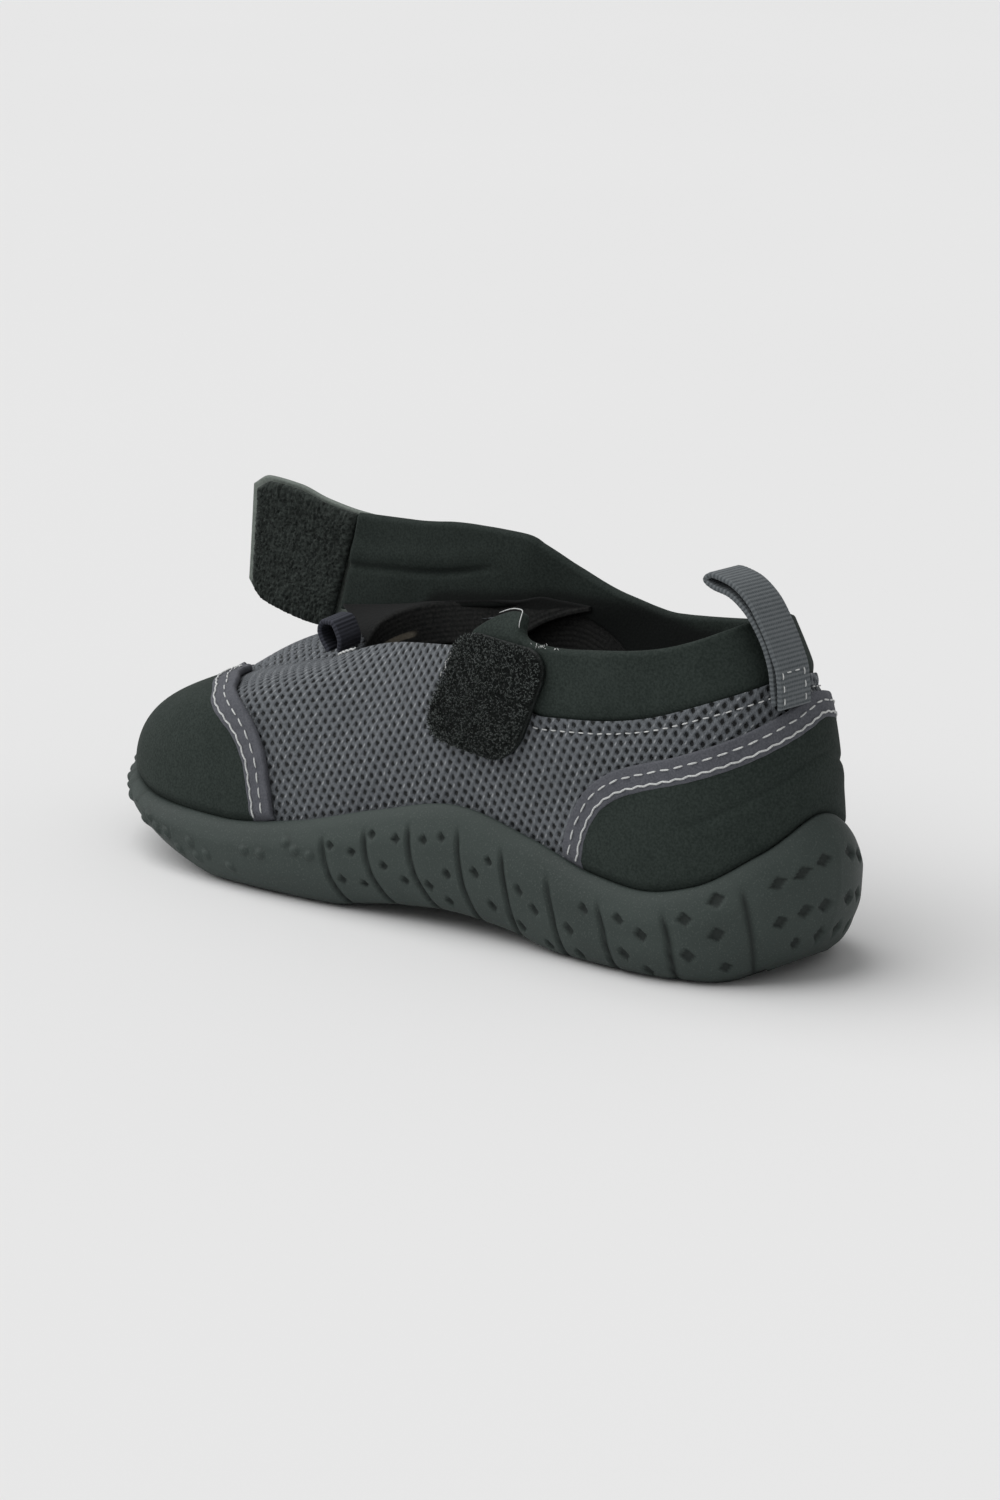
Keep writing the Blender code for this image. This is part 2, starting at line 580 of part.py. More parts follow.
build_outsole()
build_insole()
build_upper()
build_collar()
build_taped_overlay("toe_cap", "toe_band", TOE_BAND, TOE_BAND_WIDTH, TOE_POINTS)
build_taped_overlay("heel_counter", "counter_band", COUNTER_BAND, COUNTER_BAND_WIDTH, HEEL_POINTS)
build_hook_pad()
build_strap_end()
build_loops()
centre_on_floor()
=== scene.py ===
# Left water shoe: fine surfaces laid over the frame's solids, their looks, the floor and the light.
# The tables are in millimetres, x from heel to toe, y to the wearer's left, z up from the floor.
import bmesh
import bpy
import numpy as np
from mathutils import Matrix


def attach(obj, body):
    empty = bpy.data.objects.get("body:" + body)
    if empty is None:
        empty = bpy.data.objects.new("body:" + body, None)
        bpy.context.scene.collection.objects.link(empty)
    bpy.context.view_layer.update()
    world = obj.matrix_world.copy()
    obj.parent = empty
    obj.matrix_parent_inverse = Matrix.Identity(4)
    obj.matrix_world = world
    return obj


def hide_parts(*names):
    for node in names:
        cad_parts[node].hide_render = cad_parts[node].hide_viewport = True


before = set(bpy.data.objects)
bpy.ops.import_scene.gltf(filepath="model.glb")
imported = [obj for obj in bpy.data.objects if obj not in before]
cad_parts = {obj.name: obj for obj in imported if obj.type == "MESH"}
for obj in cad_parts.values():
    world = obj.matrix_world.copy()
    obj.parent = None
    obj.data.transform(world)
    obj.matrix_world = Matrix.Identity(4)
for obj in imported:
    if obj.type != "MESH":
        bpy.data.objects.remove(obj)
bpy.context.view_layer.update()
shoeShift = np.array([-93.1161, -0.3035, 0.0])   # from the tables to the frame
chance = np.random.default_rng(29)

lastShape = {
    "scale": (1.91, 0.72, 1.91, 0.72, 0.715, 1, 1, 1, 1),
    # foot x, foot y, top x, top y, top z in % of length, ball width and heel height,
    # wall angle at foot and top, how far the section keeps each direction
    "sections": (
        (97.6, -4.2, 67.4, 3.0, 63.8, 106, 8, 0.2, 0.333),       # toe
        (95.1, 20.2, 66.6, 11.8, 65.0, 98, 14, 0.26, 0.39),
        (84.8, 38.9, 61.8, 16.7, 70.6, 92, 25, 0.32, 0.38),
        (68.1, 43.8, 54.9, 20.1, 76.2, 90, 50, 0.36, 0.34),      # ball, lateral
        (50.7, 38.9, 44.0, 26.4, 81.1, 92, 72, 0.36, 0.34),
        (32.5, 33.3, 29.3, 29.9, 86.7, 94, 90, 0.34, 0.34),
        (15.7, 31.3, 17.3, 27.8, 90.9, 96, 96, 0.34, 0.34),
        (6.0, 19.4, 11.0, 17.4, 97.2, 96, 66, 0.34, 0.34),
        (2.3, 0.0, 9.4, 0.0, 100.0, 94, 56, 0.38, 0.34),         # heel
        (6.0, -19.4, 11.0, -17.4, 97.2, 96, 66, 0.34, 0.34),
        (15.7, -30.6, 17.3, -27.1, 90.9, 96, 96, 0.34, 0.34),
        (32.5, -29.9, 29.3, -28.5, 87.3, 94, 90, 0.34, 0.34),
        (50.7, -30.6, 44.0, -26.4, 83.9, 90, 76, 0.36, 0.34),
        (69.6, -41.0, 54.9, -22.6, 78.2, 88, 58, 0.36, 0.34),    # ball, medial
        (85.4, -41.4, 63.2, -18.6, 74.5, 93, 38, 0.30, 0.37),
        (94.8, -27.1, 67.5, -7.0, 70.3, 100.4, 4.4, 0.205, 0.41),
    ),
    "floor": ((-5, 9.0), (30, 8.5), (60, 9.5), (85, 9.5), (112, 7.0), (140, 7.0), (165, 9.8), (180, 13.4),
              (196, 18.6)),
    "lift": 0.3,
    # section number from the toe, height of the sole's rim, drop of the mesh edge below the last's top
    "rim": ((-0.5, 18.4), (0, 20.4), (0.5, 18.4), (1, 15.9), (2, 13.2), (2.7, 13.6), (3.3, 16.8), (3.9, 22.5),
            (4.5, 26.9), (5.1, 23.2), (5.6, 19.0), (6, 17.8), (6.5, 20.0), (7.2, 27.0), (8, 33.6), (8.8, 27.0)),
    "seamDrop": ((0, 0), (3.95, 0), (4.3, 3.0), (4.7, 11.0), (5.0, 13.8), (5.4, 14.0), (6.0, 13.4),
                 (6.8, 12.4), (8.0, 11.2)),
}
sections = 16
heel = 8


# The last: curves, and places on it.

def smoothTable(table, at):
    # curve through (place, value) rows that never overshoots them: cubic pieces with harmonic slopes
    place, value = np.array(table, float).T
    step = np.diff(place)
    slope = np.diff(value) / step
    rising = slope[:-1] * slope[1:] > 0
    before, after = 2 * step[1:] + step[:-1], step[1:] + 2 * step[:-1]
    tangent = np.concatenate([slope[:1], np.zeros(len(slope) - 1), slope[-1:]])
    weighed = before[rising] / slope[:-1][rising] + after[rising] / slope[1:][rising]
    tangent[1:-1][rising] = (before + after)[rising] / weighed
    at = np.clip(np.asarray(at, float), place[0], place[-1])
    i = np.clip(np.searchsorted(place, at) - 1, 0, len(step) - 1)
    t = (at - place[i]) / step[i]
    ends = value[i] * (1 + 2 * t) * (1 - t) ** 2 + value[i + 1] * t * t * (3 - 2 * t)
    return ends + step[i] * (tangent[i] * t * (1 - t) ** 2 - tangent[i + 1] * t * t * (1 - t))


def evenPath(rows, count):
    # smooth curve through the rows, its points spread evenly by the rows' own lengths
    rows = np.array(rows, float)
    along = np.concatenate([[0], np.cumsum(np.linalg.norm(np.diff(rows, axis=0), axis=1))])
    at = np.linspace(0, along[-1], count) if np.isscalar(count) else np.asarray(count) * along[-1]
    return np.stack([smoothTable(np.column_stack([along, column]), at) for column in rows.T], -1)


def unit(vectors):
    # the same directions, one long
    return vectors / np.maximum(np.linalg.norm(vectors, axis=-1, keepdims=True), 1e-9)


def smoothStep(low, high, value):
    # 0 below low, 1 above high, 3 t^2 - 2 t^3 between them
    t = np.clip((value - low) / (high - low), 0, 1)
    return t * t * (3 - 2 * t)


sectionTable = np.array(lastShape["sections"]) * np.array(lastShape["scale"])
nextTo = np.eye(sections)
sectionSlopes = np.linalg.solve(4 * nextTo + np.roll(nextTo, 1, 0) + np.roll(nextTo, -1, 0),
                                3 * (np.roll(sectionTable, -1, 0) - np.roll(sectionTable, 1, 0)))


def sectionAt(turn):
    # the table's columns at any section number, on a closed cubic spline
    i = np.floor(turn).astype(int)
    t = (turn - i)[..., None]
    here, there = i % sections, (i + 1) % sections
    ends = sectionTable[here] * (1 + 2 * t) * (1 - t) ** 2 + sectionTable[there] * t * t * (3 - 2 * t)
    return ends + sectionSlopes[here] * t * (1 - t) ** 2 - sectionSlopes[there] * t * t * (1 - t)


def fromToe(turn):
    # section number counted from the toe on either side, 0 to 8
    turn = np.mod(turn, sections)
    return np.minimum(turn, sections - turn)


def outwardOf(turn, first):
    # level direction out of the outline whose x is that column
    step = sectionAt(turn + 0.02) - sectionAt(turn - 0.02)
    return unit(np.stack([step[..., first + 1], -step[..., first]], -1))


def wallWay(turn, first, angle):
    # direction in which the wall climbs, at an angle to the floor
    angle = np.radians(angle)[..., None]
    return np.concatenate([-np.cos(angle) * outwardOf(turn, first), np.sin(angle)], -1)


def lastCentre(turn, climb):
    # a Bezier curve for each section, from the feather edge to the top edge
    turn, climb = np.broadcast_arrays(np.asarray(turn, float), np.asarray(climb, float))
    row = sectionAt(turn)
    foot = np.stack([row[..., 0], row[..., 1],
                     smoothTable(lastShape["floor"], row[..., 0]) + lastShape["lift"]], -1)
    top = row[..., 2:5]
    span = np.linalg.norm(top - foot, axis=-1, keepdims=True)
    lower = foot + wallWay(turn, 0, row[..., 5]) * span * row[..., 7:8]
    upper = top - wallWay(turn, 2, row[..., 6]) * span * row[..., 8:9]
    t = climb[..., None]
    return foot * (1 - t) ** 3 + 3 * lower * t * (1 - t) ** 2 + 3 * upper * t * t * (1 - t) + top * t ** 3


def lastFrame(turn, climb):
    # points of the last and the outward normals there
    turn, climb = np.broadcast_arrays(np.asarray(turn, float), np.asarray(climb, float))
    step = 0.004
    across = lastCentre(turn + step, climb) - lastCentre(turn - step, climb)
    along = lastCentre(turn, climb + step) - lastCentre(turn, climb - step)
    return lastCentre(turn, climb), unit(np.cross(across, along))


def lastAt(turn, climb, out=0.0):
    # point of the last, moved out along the normal
    points, normals = lastFrame(turn, climb)
    return points + normals * np.asarray(out)[..., None]


def climbAt(turn, height):
    # share of the way up at which each section first reaches a height, straight between 81 steps
    turn, height = np.broadcast_arrays(np.asarray(turn, float), np.asarray(height, float))
    shares = np.linspace(0, 1, 81)
    heights = np.maximum.accumulate(lastCentre(turn[..., None], shares)[..., 2], axis=-1)
    i = np.clip((heights < height[..., None]).sum(-1) - 1, 0, 79)
    low = np.take_along_axis(heights, i[..., None], -1)[..., 0]
    high = np.take_along_axis(heights, i[..., None] + 1, -1)[..., 0]
    return shares[i] + np.clip((height - low) / np.maximum(high - low, 1e-9), 0, 1) / 80


def rimHeight(turn):
    return smoothTable(lastShape["rim"], fromToe(turn))


def seamHeight(turn):
    return sectionAt(turn)[..., 4] - smoothTable(lastShape["seamDrop"], fromToe(turn))


# Sheets, threads and pieces.

def gridNormals(points):
    # cross product of the grid's two directions
    return unit(np.cross(np.gradient(points, axis=0), np.gradient(points, axis=1)))


def layFaces(rows, columns, ring=False, first=0):
    # quads between neighbouring rows and columns, the last row joined to the first in a ring
    number = first + np.arange(rows * columns).reshape(rows, columns)
    if ring:
        number = np.concatenate([number, number[:1]])
    return np.stack([number[:-1, :-1], number[1:, :-1], number[1:, 1:], number[:-1, 1:]], -1).reshape(-1, 4)


def edgedSteps(count, span, edge):
    # 0 to 1, with four extra lines inside the round edge at both ends
    ends = (1 - np.cos(np.linspace(0, 0.5 * np.pi, 5)[:-1])) * edge / span
    return np.concatenate([ends, np.linspace(edge / span, 1 - edge / span, count), 1 - ends[::-1]])


def runLengths(points, axis):
    # way in mm from the first point along one axis of a grid
    steps = np.linalg.norm(np.diff(points, axis=axis), axis=-1)
    return np.concatenate([np.zeros_like(np.take(steps, [0], axis)), np.cumsum(steps, axis)], axis)


def roundedSheet(points, normals, low, high, edge, ring=False):
    # two layers, low and high along the normals, that close on each other in a round edge:
    # half the thickness times sqrt(1 - (1 - d/edge)^2), d being the way to the nearest border
    rows, columns = points.shape[:2]
    up = runLengths(points, 1)
    near = np.minimum(up, up[:, -1:] - up)
    if not ring:
        along = runLengths(points, 0)
        near = np.minimum(near, np.minimum(along, along[-1:] - along))
    swell = np.sqrt(1 - (1 - np.minimum(near / edge, 1)) ** 2)
    middle, half = 0.5 * (np.asarray(high) + low), 0.5 * (np.asarray(high) - low)
    outer = points + normals * (middle + half * swell)[..., None]
    inner = points + normals * (middle - half * swell)[..., None]
    faces = np.concatenate([layFaces(rows, columns, ring),
                            layFaces(rows, columns, ring, rows * columns)[:, ::-1]])
    return np.concatenate([outer.reshape(-1, 3), inner.reshape(-1, 3)]), faces


def addPiece(name, points, faces, material, slot, replaces=(), uv=None, toneMark=None):
    # object from points in mm, points that meet joined; uv is in mm, and the last argument is a value for each
    # point that the materials read: painted shade, and the lining's pale strip
    mesh = bpy.data.meshes.new(name)
    place = (np.reshape(points, (-1, 3)) + shoeShift) * 0.001
    mesh.from_pydata(place.tolist(), [], faces if isinstance(faces, list) else faces.tolist())
    if uv is not None:
        corner = np.empty(len(mesh.loops), int)
        mesh.loops.foreach_get("vertex_index", corner)
        mesh.uv_layers.new(name="cloth").data.foreach_set("uv", np.reshape(uv, (-1, 2))[corner].ravel())
    if toneMark is not None:
        layer = mesh.attributes.new("toneMark", "FLOAT", "POINT")
        layer.data.foreach_set("value", np.ravel(toneMark))
    work = bmesh.new()
    work.from_mesh(mesh)
    bmesh.ops.remove_doubles(work, verts=work.verts, dist=2e-6)
    work.to_mesh(mesh)
    work.free()
    mesh.polygons.foreach_set("use_smooth", np.ones(len(mesh.polygons), bool))
    mesh.materials.append(material)
    made = bpy.data.objects.new(name, mesh)
    bpy.context.scene.collection.objects.link(made)
    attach(made, "root")
    if replaces:
        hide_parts(*replaces)
    print("made", name, len(mesh.polygons), "faces")
    return made


def threads(centres, along, normals, length, radius, bow, sides=6, rings=7):
    # short threads: a tube of a few sides along each direction, its radius r (1 - s^4)^(1/2) and its middle
    # lifted by bow (1 - s^2), s running from -1 to 1
    s = np.linspace(-1, 1, rings)[:, None]
    turn = np.linspace(0, 2 * np.pi, sides, endpoint=False)[None, :]
    thick = radius * np.sqrt(np.maximum(1 - s ** 4, 0))
    forward, sideways = 0.5 * length * s + 0 * turn, thick * np.cos(turn)
    lifted = bow * (1 - s ** 2) + thick * np.sin(turn)
    along, normals = unit(along), unit(normals)
    side = np.cross(normals, along)
    points = (centres[:, None, None] + along[:, None, None] * forward[..., None]
              + side[:, None, None] * sideways[..., None] + normals[:, None, None] * lifted[..., None])
    one = layFaces(sides, rings, True)
    points = points.transpose(0, 2, 1, 3)
    faces = (np.arange(len(centres))[:, None, None] * sides * rings + one[None]).reshape(-1, 4)
    return points.reshape(-1, 3), faces[:, ::-1]


def joined(*parts):
    # several (points, faces) pairs as one
    points, faces, first = [], [], 0
    for these, those in parts:
        points.append(np.reshape(these, (-1, 3)))
        faces.append(np.asarray(those) + first)
        first += len(points[-1])
    return np.concatenate(points), np.concatenate(faces)


def evenAlong(points, pitch):
    # fractional places on a line of points, one every pitch
    run = runLengths(points, 0)
    count = max(int(run[-1] / pitch), 2)
    return np.interp((np.arange(count) + 0.5) * run[-1] / count, run, np.arange(len(points)))


def pick(values, at):
    # values at fractional places, straight between the rows
    i = np.clip(np.floor(at).astype(int), 0, len(values) - 2)
    t = (at - i).reshape(-1, *([1] * (values.ndim - 1)))
    return values[i] * (1 - t) + values[i + 1] * t


# Looks.

def put(tree, kind, inputs=None, **settings):
    # new node with its settings, and its inputs linked or set
    made = tree.nodes.new("ShaderNode" + kind)
    for key, value in settings.items():
        setattr(made, key, value)
    for key, value in (inputs or {}).items():
        if isinstance(value, bpy.types.NodeSocket):
            tree.links.new(value, made.inputs[key])
        else:
            made.inputs[key].default_value = value
    return made


def calc(tree, operation, *values):
    return put(tree, "Math", dict(enumerate(values)), operation=operation).outputs[0]


def ramp(tree, value, low, high, start=0.0, end=1.0):
    return put(tree, "MapRange", {"Value": value, "From Min": low, "From Max": high, "To Min": start,
                                  "To Max": end}, interpolation_type="SMOOTHSTEP").outputs[0]


def blendTone(tree, factor, first, second):
    made = put(tree, "Mix", data_type="RGBA")
    for at, value in ((0, factor), (6, first), (7, second)):
        if isinstance(value, bpy.types.NodeSocket):
            tree.links.new(value, made.inputs[at])
        else:
            made.inputs[at].default_value = value if at == 0 else (*value, 1)
    return made.outputs[2]


def makeGrain():
    # fine fibre grain shared by the cloths: tone and height, both about 0 to 1
    tree = bpy.data.node_groups.new("fibreGrain", "ShaderNodeTree")
    tree.interface.new_socket("Vector", in_out="INPUT", socket_type="NodeSocketVector")
    tree.interface.new_socket("Scale", in_out="INPUT", socket_type="NodeSocketFloat")
    for name in ("Tone", "Height"):
        tree.interface.new_socket(name, in_out="OUTPUT", socket_type="NodeSocketFloat")
    given, result = tree.nodes.new("NodeGroupInput"), tree.nodes.new("NodeGroupOutput")
    where, scale = given.outputs["Vector"], given.outputs["Scale"]
    fine = put(tree, "TexNoise", {"Vector": where, "Scale": scale, "Detail": 3.0, "Roughness": 0.6})
    wide = calc(tree, "MULTIPLY", scale, 0.06)
    broad = put(tree, "TexNoise", {"Vector": where, "Scale": wide, "Detail": 2.0})
    tone = calc(tree, "ADD", calc(tree, "MULTIPLY", fine.outputs[0], 0.8),
                calc(tree, "MULTIPLY", broad.outputs[0], 0.2))
    tree.links.new(ramp(tree, tone, 0.3, 0.7), result.inputs["Tone"])
    tree.links.new(fine.outputs[0], result.inputs["Height"])
    return tree


grain = makeGrain()


def startMaterial(name, roughness, specular=0.5, sheen=0.0, sheenRoughness=0.5):
    made = bpy.data.materials.new(name)
    made.use_nodes = True
    tree = made.node_tree
    shader = tree.nodes["Principled BSDF"]
    constants = {"Roughness": roughness, "Metallic": 0, "Specular IOR Level": specular,
                 "Sheen Weight": sheen, "Sheen Roughness": sheenRoughness}
    for key, value in constants.items():
        shader.inputs[key].default_value = value
    return made, tree, shader


def place(tree, kind="Object"):
    if kind == "UV":
        return put(tree, "UVMap", uv_map="cloth").outputs[0]
    return put(tree, "TexCoord").outputs["Object"]


def bumped(tree, shader, height, distance):
    bump = put(tree, "Bump", {"Height": height, "Distance": distance})
    tree.links.new(bump.outputs[0], shader.inputs["Normal"])


def fibreOn(tree, scale):
    # the shared grain at a scale, on object coordinates
    return put(tree, "Group", {"Vector": place(tree), "Scale": scale}, node_tree=grain)


def clothMaterial(name, dark, light, roughness, scale, distance, sheen=0.0, paintedShade=0.0):
    # plain cloth: tone between dark and light by the fibre grain, and the same grain as relief; the last argument
    # is how far it is painted towards black, as painted shade, where the point attribute is 1
    made, tree, shader = startMaterial(name, roughness, 0.2, sheen)
    fibre = fibreOn(tree, scale)
    tone = blendTone(tree, fibre.outputs["Tone"], dark, light)
    if paintedShade:
        low = put(tree, "Attribute", attribute_name="toneMark").outputs["Fac"]
        tone = blendTone(tree, calc(tree, "MULTIPLY", low, paintedShade), tone, (0.003, 0.0035, 0.0035))
    tree.links.new(tone, shader.inputs["Base Color"])
    bumped(tree, shader, fibre.outputs["Height"], distance)
    return made


def ribbedMaterial(name, dark, light, pitch, depth, roughness=0.85):
    # webbing: cross ribs every pitch along the strip and finer yarns across them, on UV in mm
    made, tree, shader = startMaterial(name, roughness, 0.25, 0.05, 0.4)
    part = put(tree, "SeparateXYZ", {0: place(tree, "UV")})
    rib = calc(tree, "SINE", calc(tree, "MULTIPLY", part.outputs[0], 2 * np.pi / pitch))
    yarn = calc(tree, "SINE", calc(tree, "MULTIPLY", part.outputs[1], 2 * np.pi / (0.6 * pitch)))
    height = calc(tree, "ADD", calc(tree, "MULTIPLY", rib, 0.35), calc(tree, "MULTIPLY", yarn, 0.15))
    fibre = fibreOn(tree, 2600)
    height = calc(tree, "ADD", height, calc(tree, "MULTIPLY", fibre.outputs["Height"], 0.4))
    # the tone follows the relief: painted shade in the grooves between ribs and yarns, lighter on their tops, with
    # the grain's own tone mixed in
    tone = ramp(tree, calc(tree, "ADD", height, calc(tree, "MULTIPLY", fibre.outputs["Tone"], 0.3)), -0.3, 0.8)
    tree.links.new(blendTone(tree, tone, dark, light), shader.inputs["Base Color"])
    bumped(tree, shader, height, depth)
    return made


def rubberMaterial():
    # moulded rubber: slow tone patches, fine speckle with pale flecks, and painted shade darkening the slits,
    # pits, pip feet and the cup's inner wall
    made, tree, shader = startMaterial("rubber", 0.62, 0.3)
    where = place(tree)
    patches = put(tree, "TexNoise", {"Vector": where, "Scale": 45.0, "Detail": 3.0}).outputs[0]
    speckle = put(tree, "TexNoise", {"Vector": where, "Scale": 2600.0, "Detail": 2.0}).outputs[0]
    low = put(tree, "Attribute", attribute_name="toneMark").outputs["Fac"]
    tone = blendTone(tree, ramp(tree, patches, 0.3, 0.7), (0.031, 0.042, 0.038), (0.043, 0.056, 0.051))
    tone = blendTone(tree, ramp(tree, speckle, 0.52, 0.75, 0.0, 0.5), tone, (0.078, 0.094, 0.087))
    # painted shade: up to 80% of the way to near black where the point attribute marks the slits, pits, pip feet,
    # the cup's inner wall and the tread grooves
    tone = blendTone(tree, calc(tree, "MULTIPLY", ramp(tree, low, 0.0, 1.0), 0.8), tone, (0.010, 0.013, 0.012))
    tree.links.new(tone, shader.inputs["Base Color"])
    tree.links.new(ramp(tree, patches, 0.2, 0.8, 0.58, 0.74), shader.inputs["Roughness"])
    bumped(tree, shader, calc(tree, "ADD", speckle, calc(tree, "MULTIPLY", patches, 0.8)), 0.00006)
    return made


def liningMaterial():
    # dark knit with a pale strip where the point attribute is 1, and painted black shade where it is -1
    made, tree, shader = startMaterial("lining", 0.92, 0.2, 0.05)
    fibre = fibreOn(tree, 1600)
    dark = blendTone(tree, fibre.outputs["Tone"], (0.008, 0.009, 0.009), (0.027, 0.027, 0.026))
    pale = blendTone(tree, fibre.outputs["Tone"], (0.13, 0.115, 0.09), (0.20, 0.18, 0.145))
    shade = put(tree, "Attribute", attribute_name="toneMark").outputs["Fac"]
    tone = blendTone(tree, ramp(tree, shade, 0.0, 1.0), dark, pale)
    # painted shade: black where the attribute goes to -1
    tone = blendTone(tree, ramp(tree, shade, -1.0, 0.0, 1.0, 0.0), tone, (0.004, 0.0045, 0.0045))
    tree.links.new(tone, shader.inputs["Base Color"])
    bumped(tree, shader, fibre.outputs["Height"], 0.00012)
    return made


meshKnit = {
    "pitch": 2.35, "row": 1.62, "rise": 15,          # mm in a row and between rows, degrees that the rows rise
    "power": 3.4, "hole": (0.17, 0.28), "depth": 0.6,    # hole's outline, its bottom and rim in cells, mm deep
    "dip": 0.46, "yarns": 5, "yarnLean": 0.35, "fibre": 2200, "relief": 0.00025,
    "glintLength": (0.06, 0.30), "glintWidth": (0.03, 0.13), "glintShare": (0.25, 0.95),
    "dark": (0.074, 0.083, 0.092), "light": (0.143, 0.156, 0.171), "yarnTone": (0.26, 0.275, 0.295),
    # dipTone is painted shade on the yarns round each hole; holeTone paints the holes as the dark lining behind
    # them in shade
    "dipTone": (0.052, 0.058, 0.064), "glintTone": (0.44, 0.455, 0.47), "holeTone": (0.019, 0.0215, 0.0225),
}


def knitMaterial():
    # open knit on UV in mm: staggered rows of holes, a = u/pitch + v/(2 row), b = u/pitch - v/(2 row), dark
    # rounded holes at the middles of its cells, their dark standing for the lining behind them and painted shade,
    # the yarns round them painted darker as painted shade, and yarns between them with short bright glints along a
    made, tree, shader = startMaterial("meshKnit", 0.68, 0.35, 0.08, 0.4)
    part = put(tree, "SeparateXYZ", {0: place(tree, "UV")})
    along = calc(tree, "DIVIDE", part.outputs[0], meshKnit["pitch"])
    rows = calc(tree, "DIVIDE", part.outputs[1], 2 * meshKnit["row"])
    a, b = calc(tree, "ADD", along, rows), calc(tree, "SUBTRACT", along, rows)
    offA, offB = (calc(tree, "ABSOLUTE", calc(tree, "SUBTRACT", calc(tree, "FRACT", x), 0.5)) for x in (a, b))
    powers = [calc(tree, "POWER", off, meshKnit["power"]) for off in (offA, offB)]
    reach = calc(tree, "POWER", calc(tree, "ADD", *powers), 1 / meshKnit["power"])
    hole = ramp(tree, reach, *meshKnit["hole"], 1.0, 0.0)
    dip = ramp(tree, reach, meshKnit["hole"][1], meshKnit["dip"], 1.0, 0.0)
    fibre = fibreOn(tree, meshKnit["fibre"])
    slope = calc(tree, "ADD", a, calc(tree, "MULTIPLY", b, meshKnit["yarnLean"]))
    yarn = calc(tree, "SINE", calc(tree, "MULTIPLY", slope, 2 * np.pi * meshKnit["yarns"]))
    crossA, crossB = (calc(tree, "SUBTRACT", 0.5, off) for off in (offA, offB))
    glint = calc(tree, "MULTIPLY", ramp(tree, crossA, *meshKnit["glintLength"], 1.0, 0.0),
                 ramp(tree, crossB, *meshKnit["glintWidth"], 1.0, 0.0))
    corner = [calc(tree, "FLOOR", calc(tree, "ADD", x, 0.5)) for x in (a, b)]
    cell = put(tree, "CombineXYZ", dict(enumerate(corner)))
    lucky = put(tree, "TexWhiteNoise", {"Vector": cell.outputs[0]}, noise_dimensions="3D").outputs[0]
    glint = calc(tree, "MULTIPLY", glint, ramp(tree, lucky, *meshKnit["glintShare"], 0.1, 1.0))
    tone = blendTone(tree, fibre.outputs["Tone"], meshKnit["dark"], meshKnit["light"])
    for mask, most, shade in ((ramp(tree, yarn, -0.2, 1.0), 0.22, "yarnTone"), (dip, 0.5, "dipTone"),
                              (glint, 0.7, "glintTone"), (hole, 1.0, "holeTone")):
        tone = blendTone(tree, calc(tree, "MULTIPLY", mask, most), tone, meshKnit[shade])
    tree.links.new(tone, shader.inputs["Base Color"])
    height = calc(tree, "ADD", calc(tree, "MULTIPLY", yarn, 0.12), calc(tree, "MULTIPLY", glint, 0.6))
    height = calc(tree, "SUBTRACT", calc(tree, "ADD", height, fibre.outputs["Height"]), hole)
    bumped(tree, shader, height, meshKnit["relief"])
    return made


looks = {
    "rubber": rubberMaterial(),
    "mesh": knitMaterial(),
    # neoprene: painted shade takes it up to 85% of the way to black where its point attribute is 1
    "neoprene": clothMaterial("neoprene", (0.0140, 0.0205, 0.0175), (0.0310, 0.0408, 0.0360), 0.9, 2000,
                              0.00010, paintedShade=0.85),
    "tape": clothMaterial("tape", (0.070, 0.073, 0.085), (0.112, 0.116, 0.131), 0.85, 2600, 0.0001, 0.04),
    "thread": clothMaterial("thread", (0.44, 0.45, 0.45), (0.70, 0.71, 0.70), 0.6, 3500, 0.00005, 0.1),
    "hook": clothMaterial("hook", (0.006, 0.0075, 0.007), (0.020, 0.025, 0.023), 0.5, 1800, 0.0001),
    "bristle": clothMaterial("bristle", (0.018, 0.023, 0.021), (0.150, 0.168, 0.160), 0.45, 2800, 0.0001),
    "pile": clothMaterial("pile", (0.0045, 0.0065, 0.0055), (0.042, 0.051, 0.046), 0.9, 1100, 0.0003, 0.04),
    "webbing": ribbedMaterial("webbing", (0.066, 0.075, 0.081), (0.145, 0.159, 0.167), 0.9, 0.00008),
    "navy": ribbedMaterial("navyWebbing", (0.020, 0.0215, 0.030), (0.046, 0.049, 0.064), 0.8, 0.00010),
    "lining": liningMaterial(),
    "insole": clothMaterial("insole", (0.045, 0.042, 0.036), (0.13, 0.12, 0.10), 0.95, 2000, 0.00015, 0.1),
    "backing": clothMaterial("backing", (0.13, 0.15, 0.135), (0.19, 0.215, 0.195), 0.6, 1500, 0.00004),
}
print("materials ready")


# Sole.

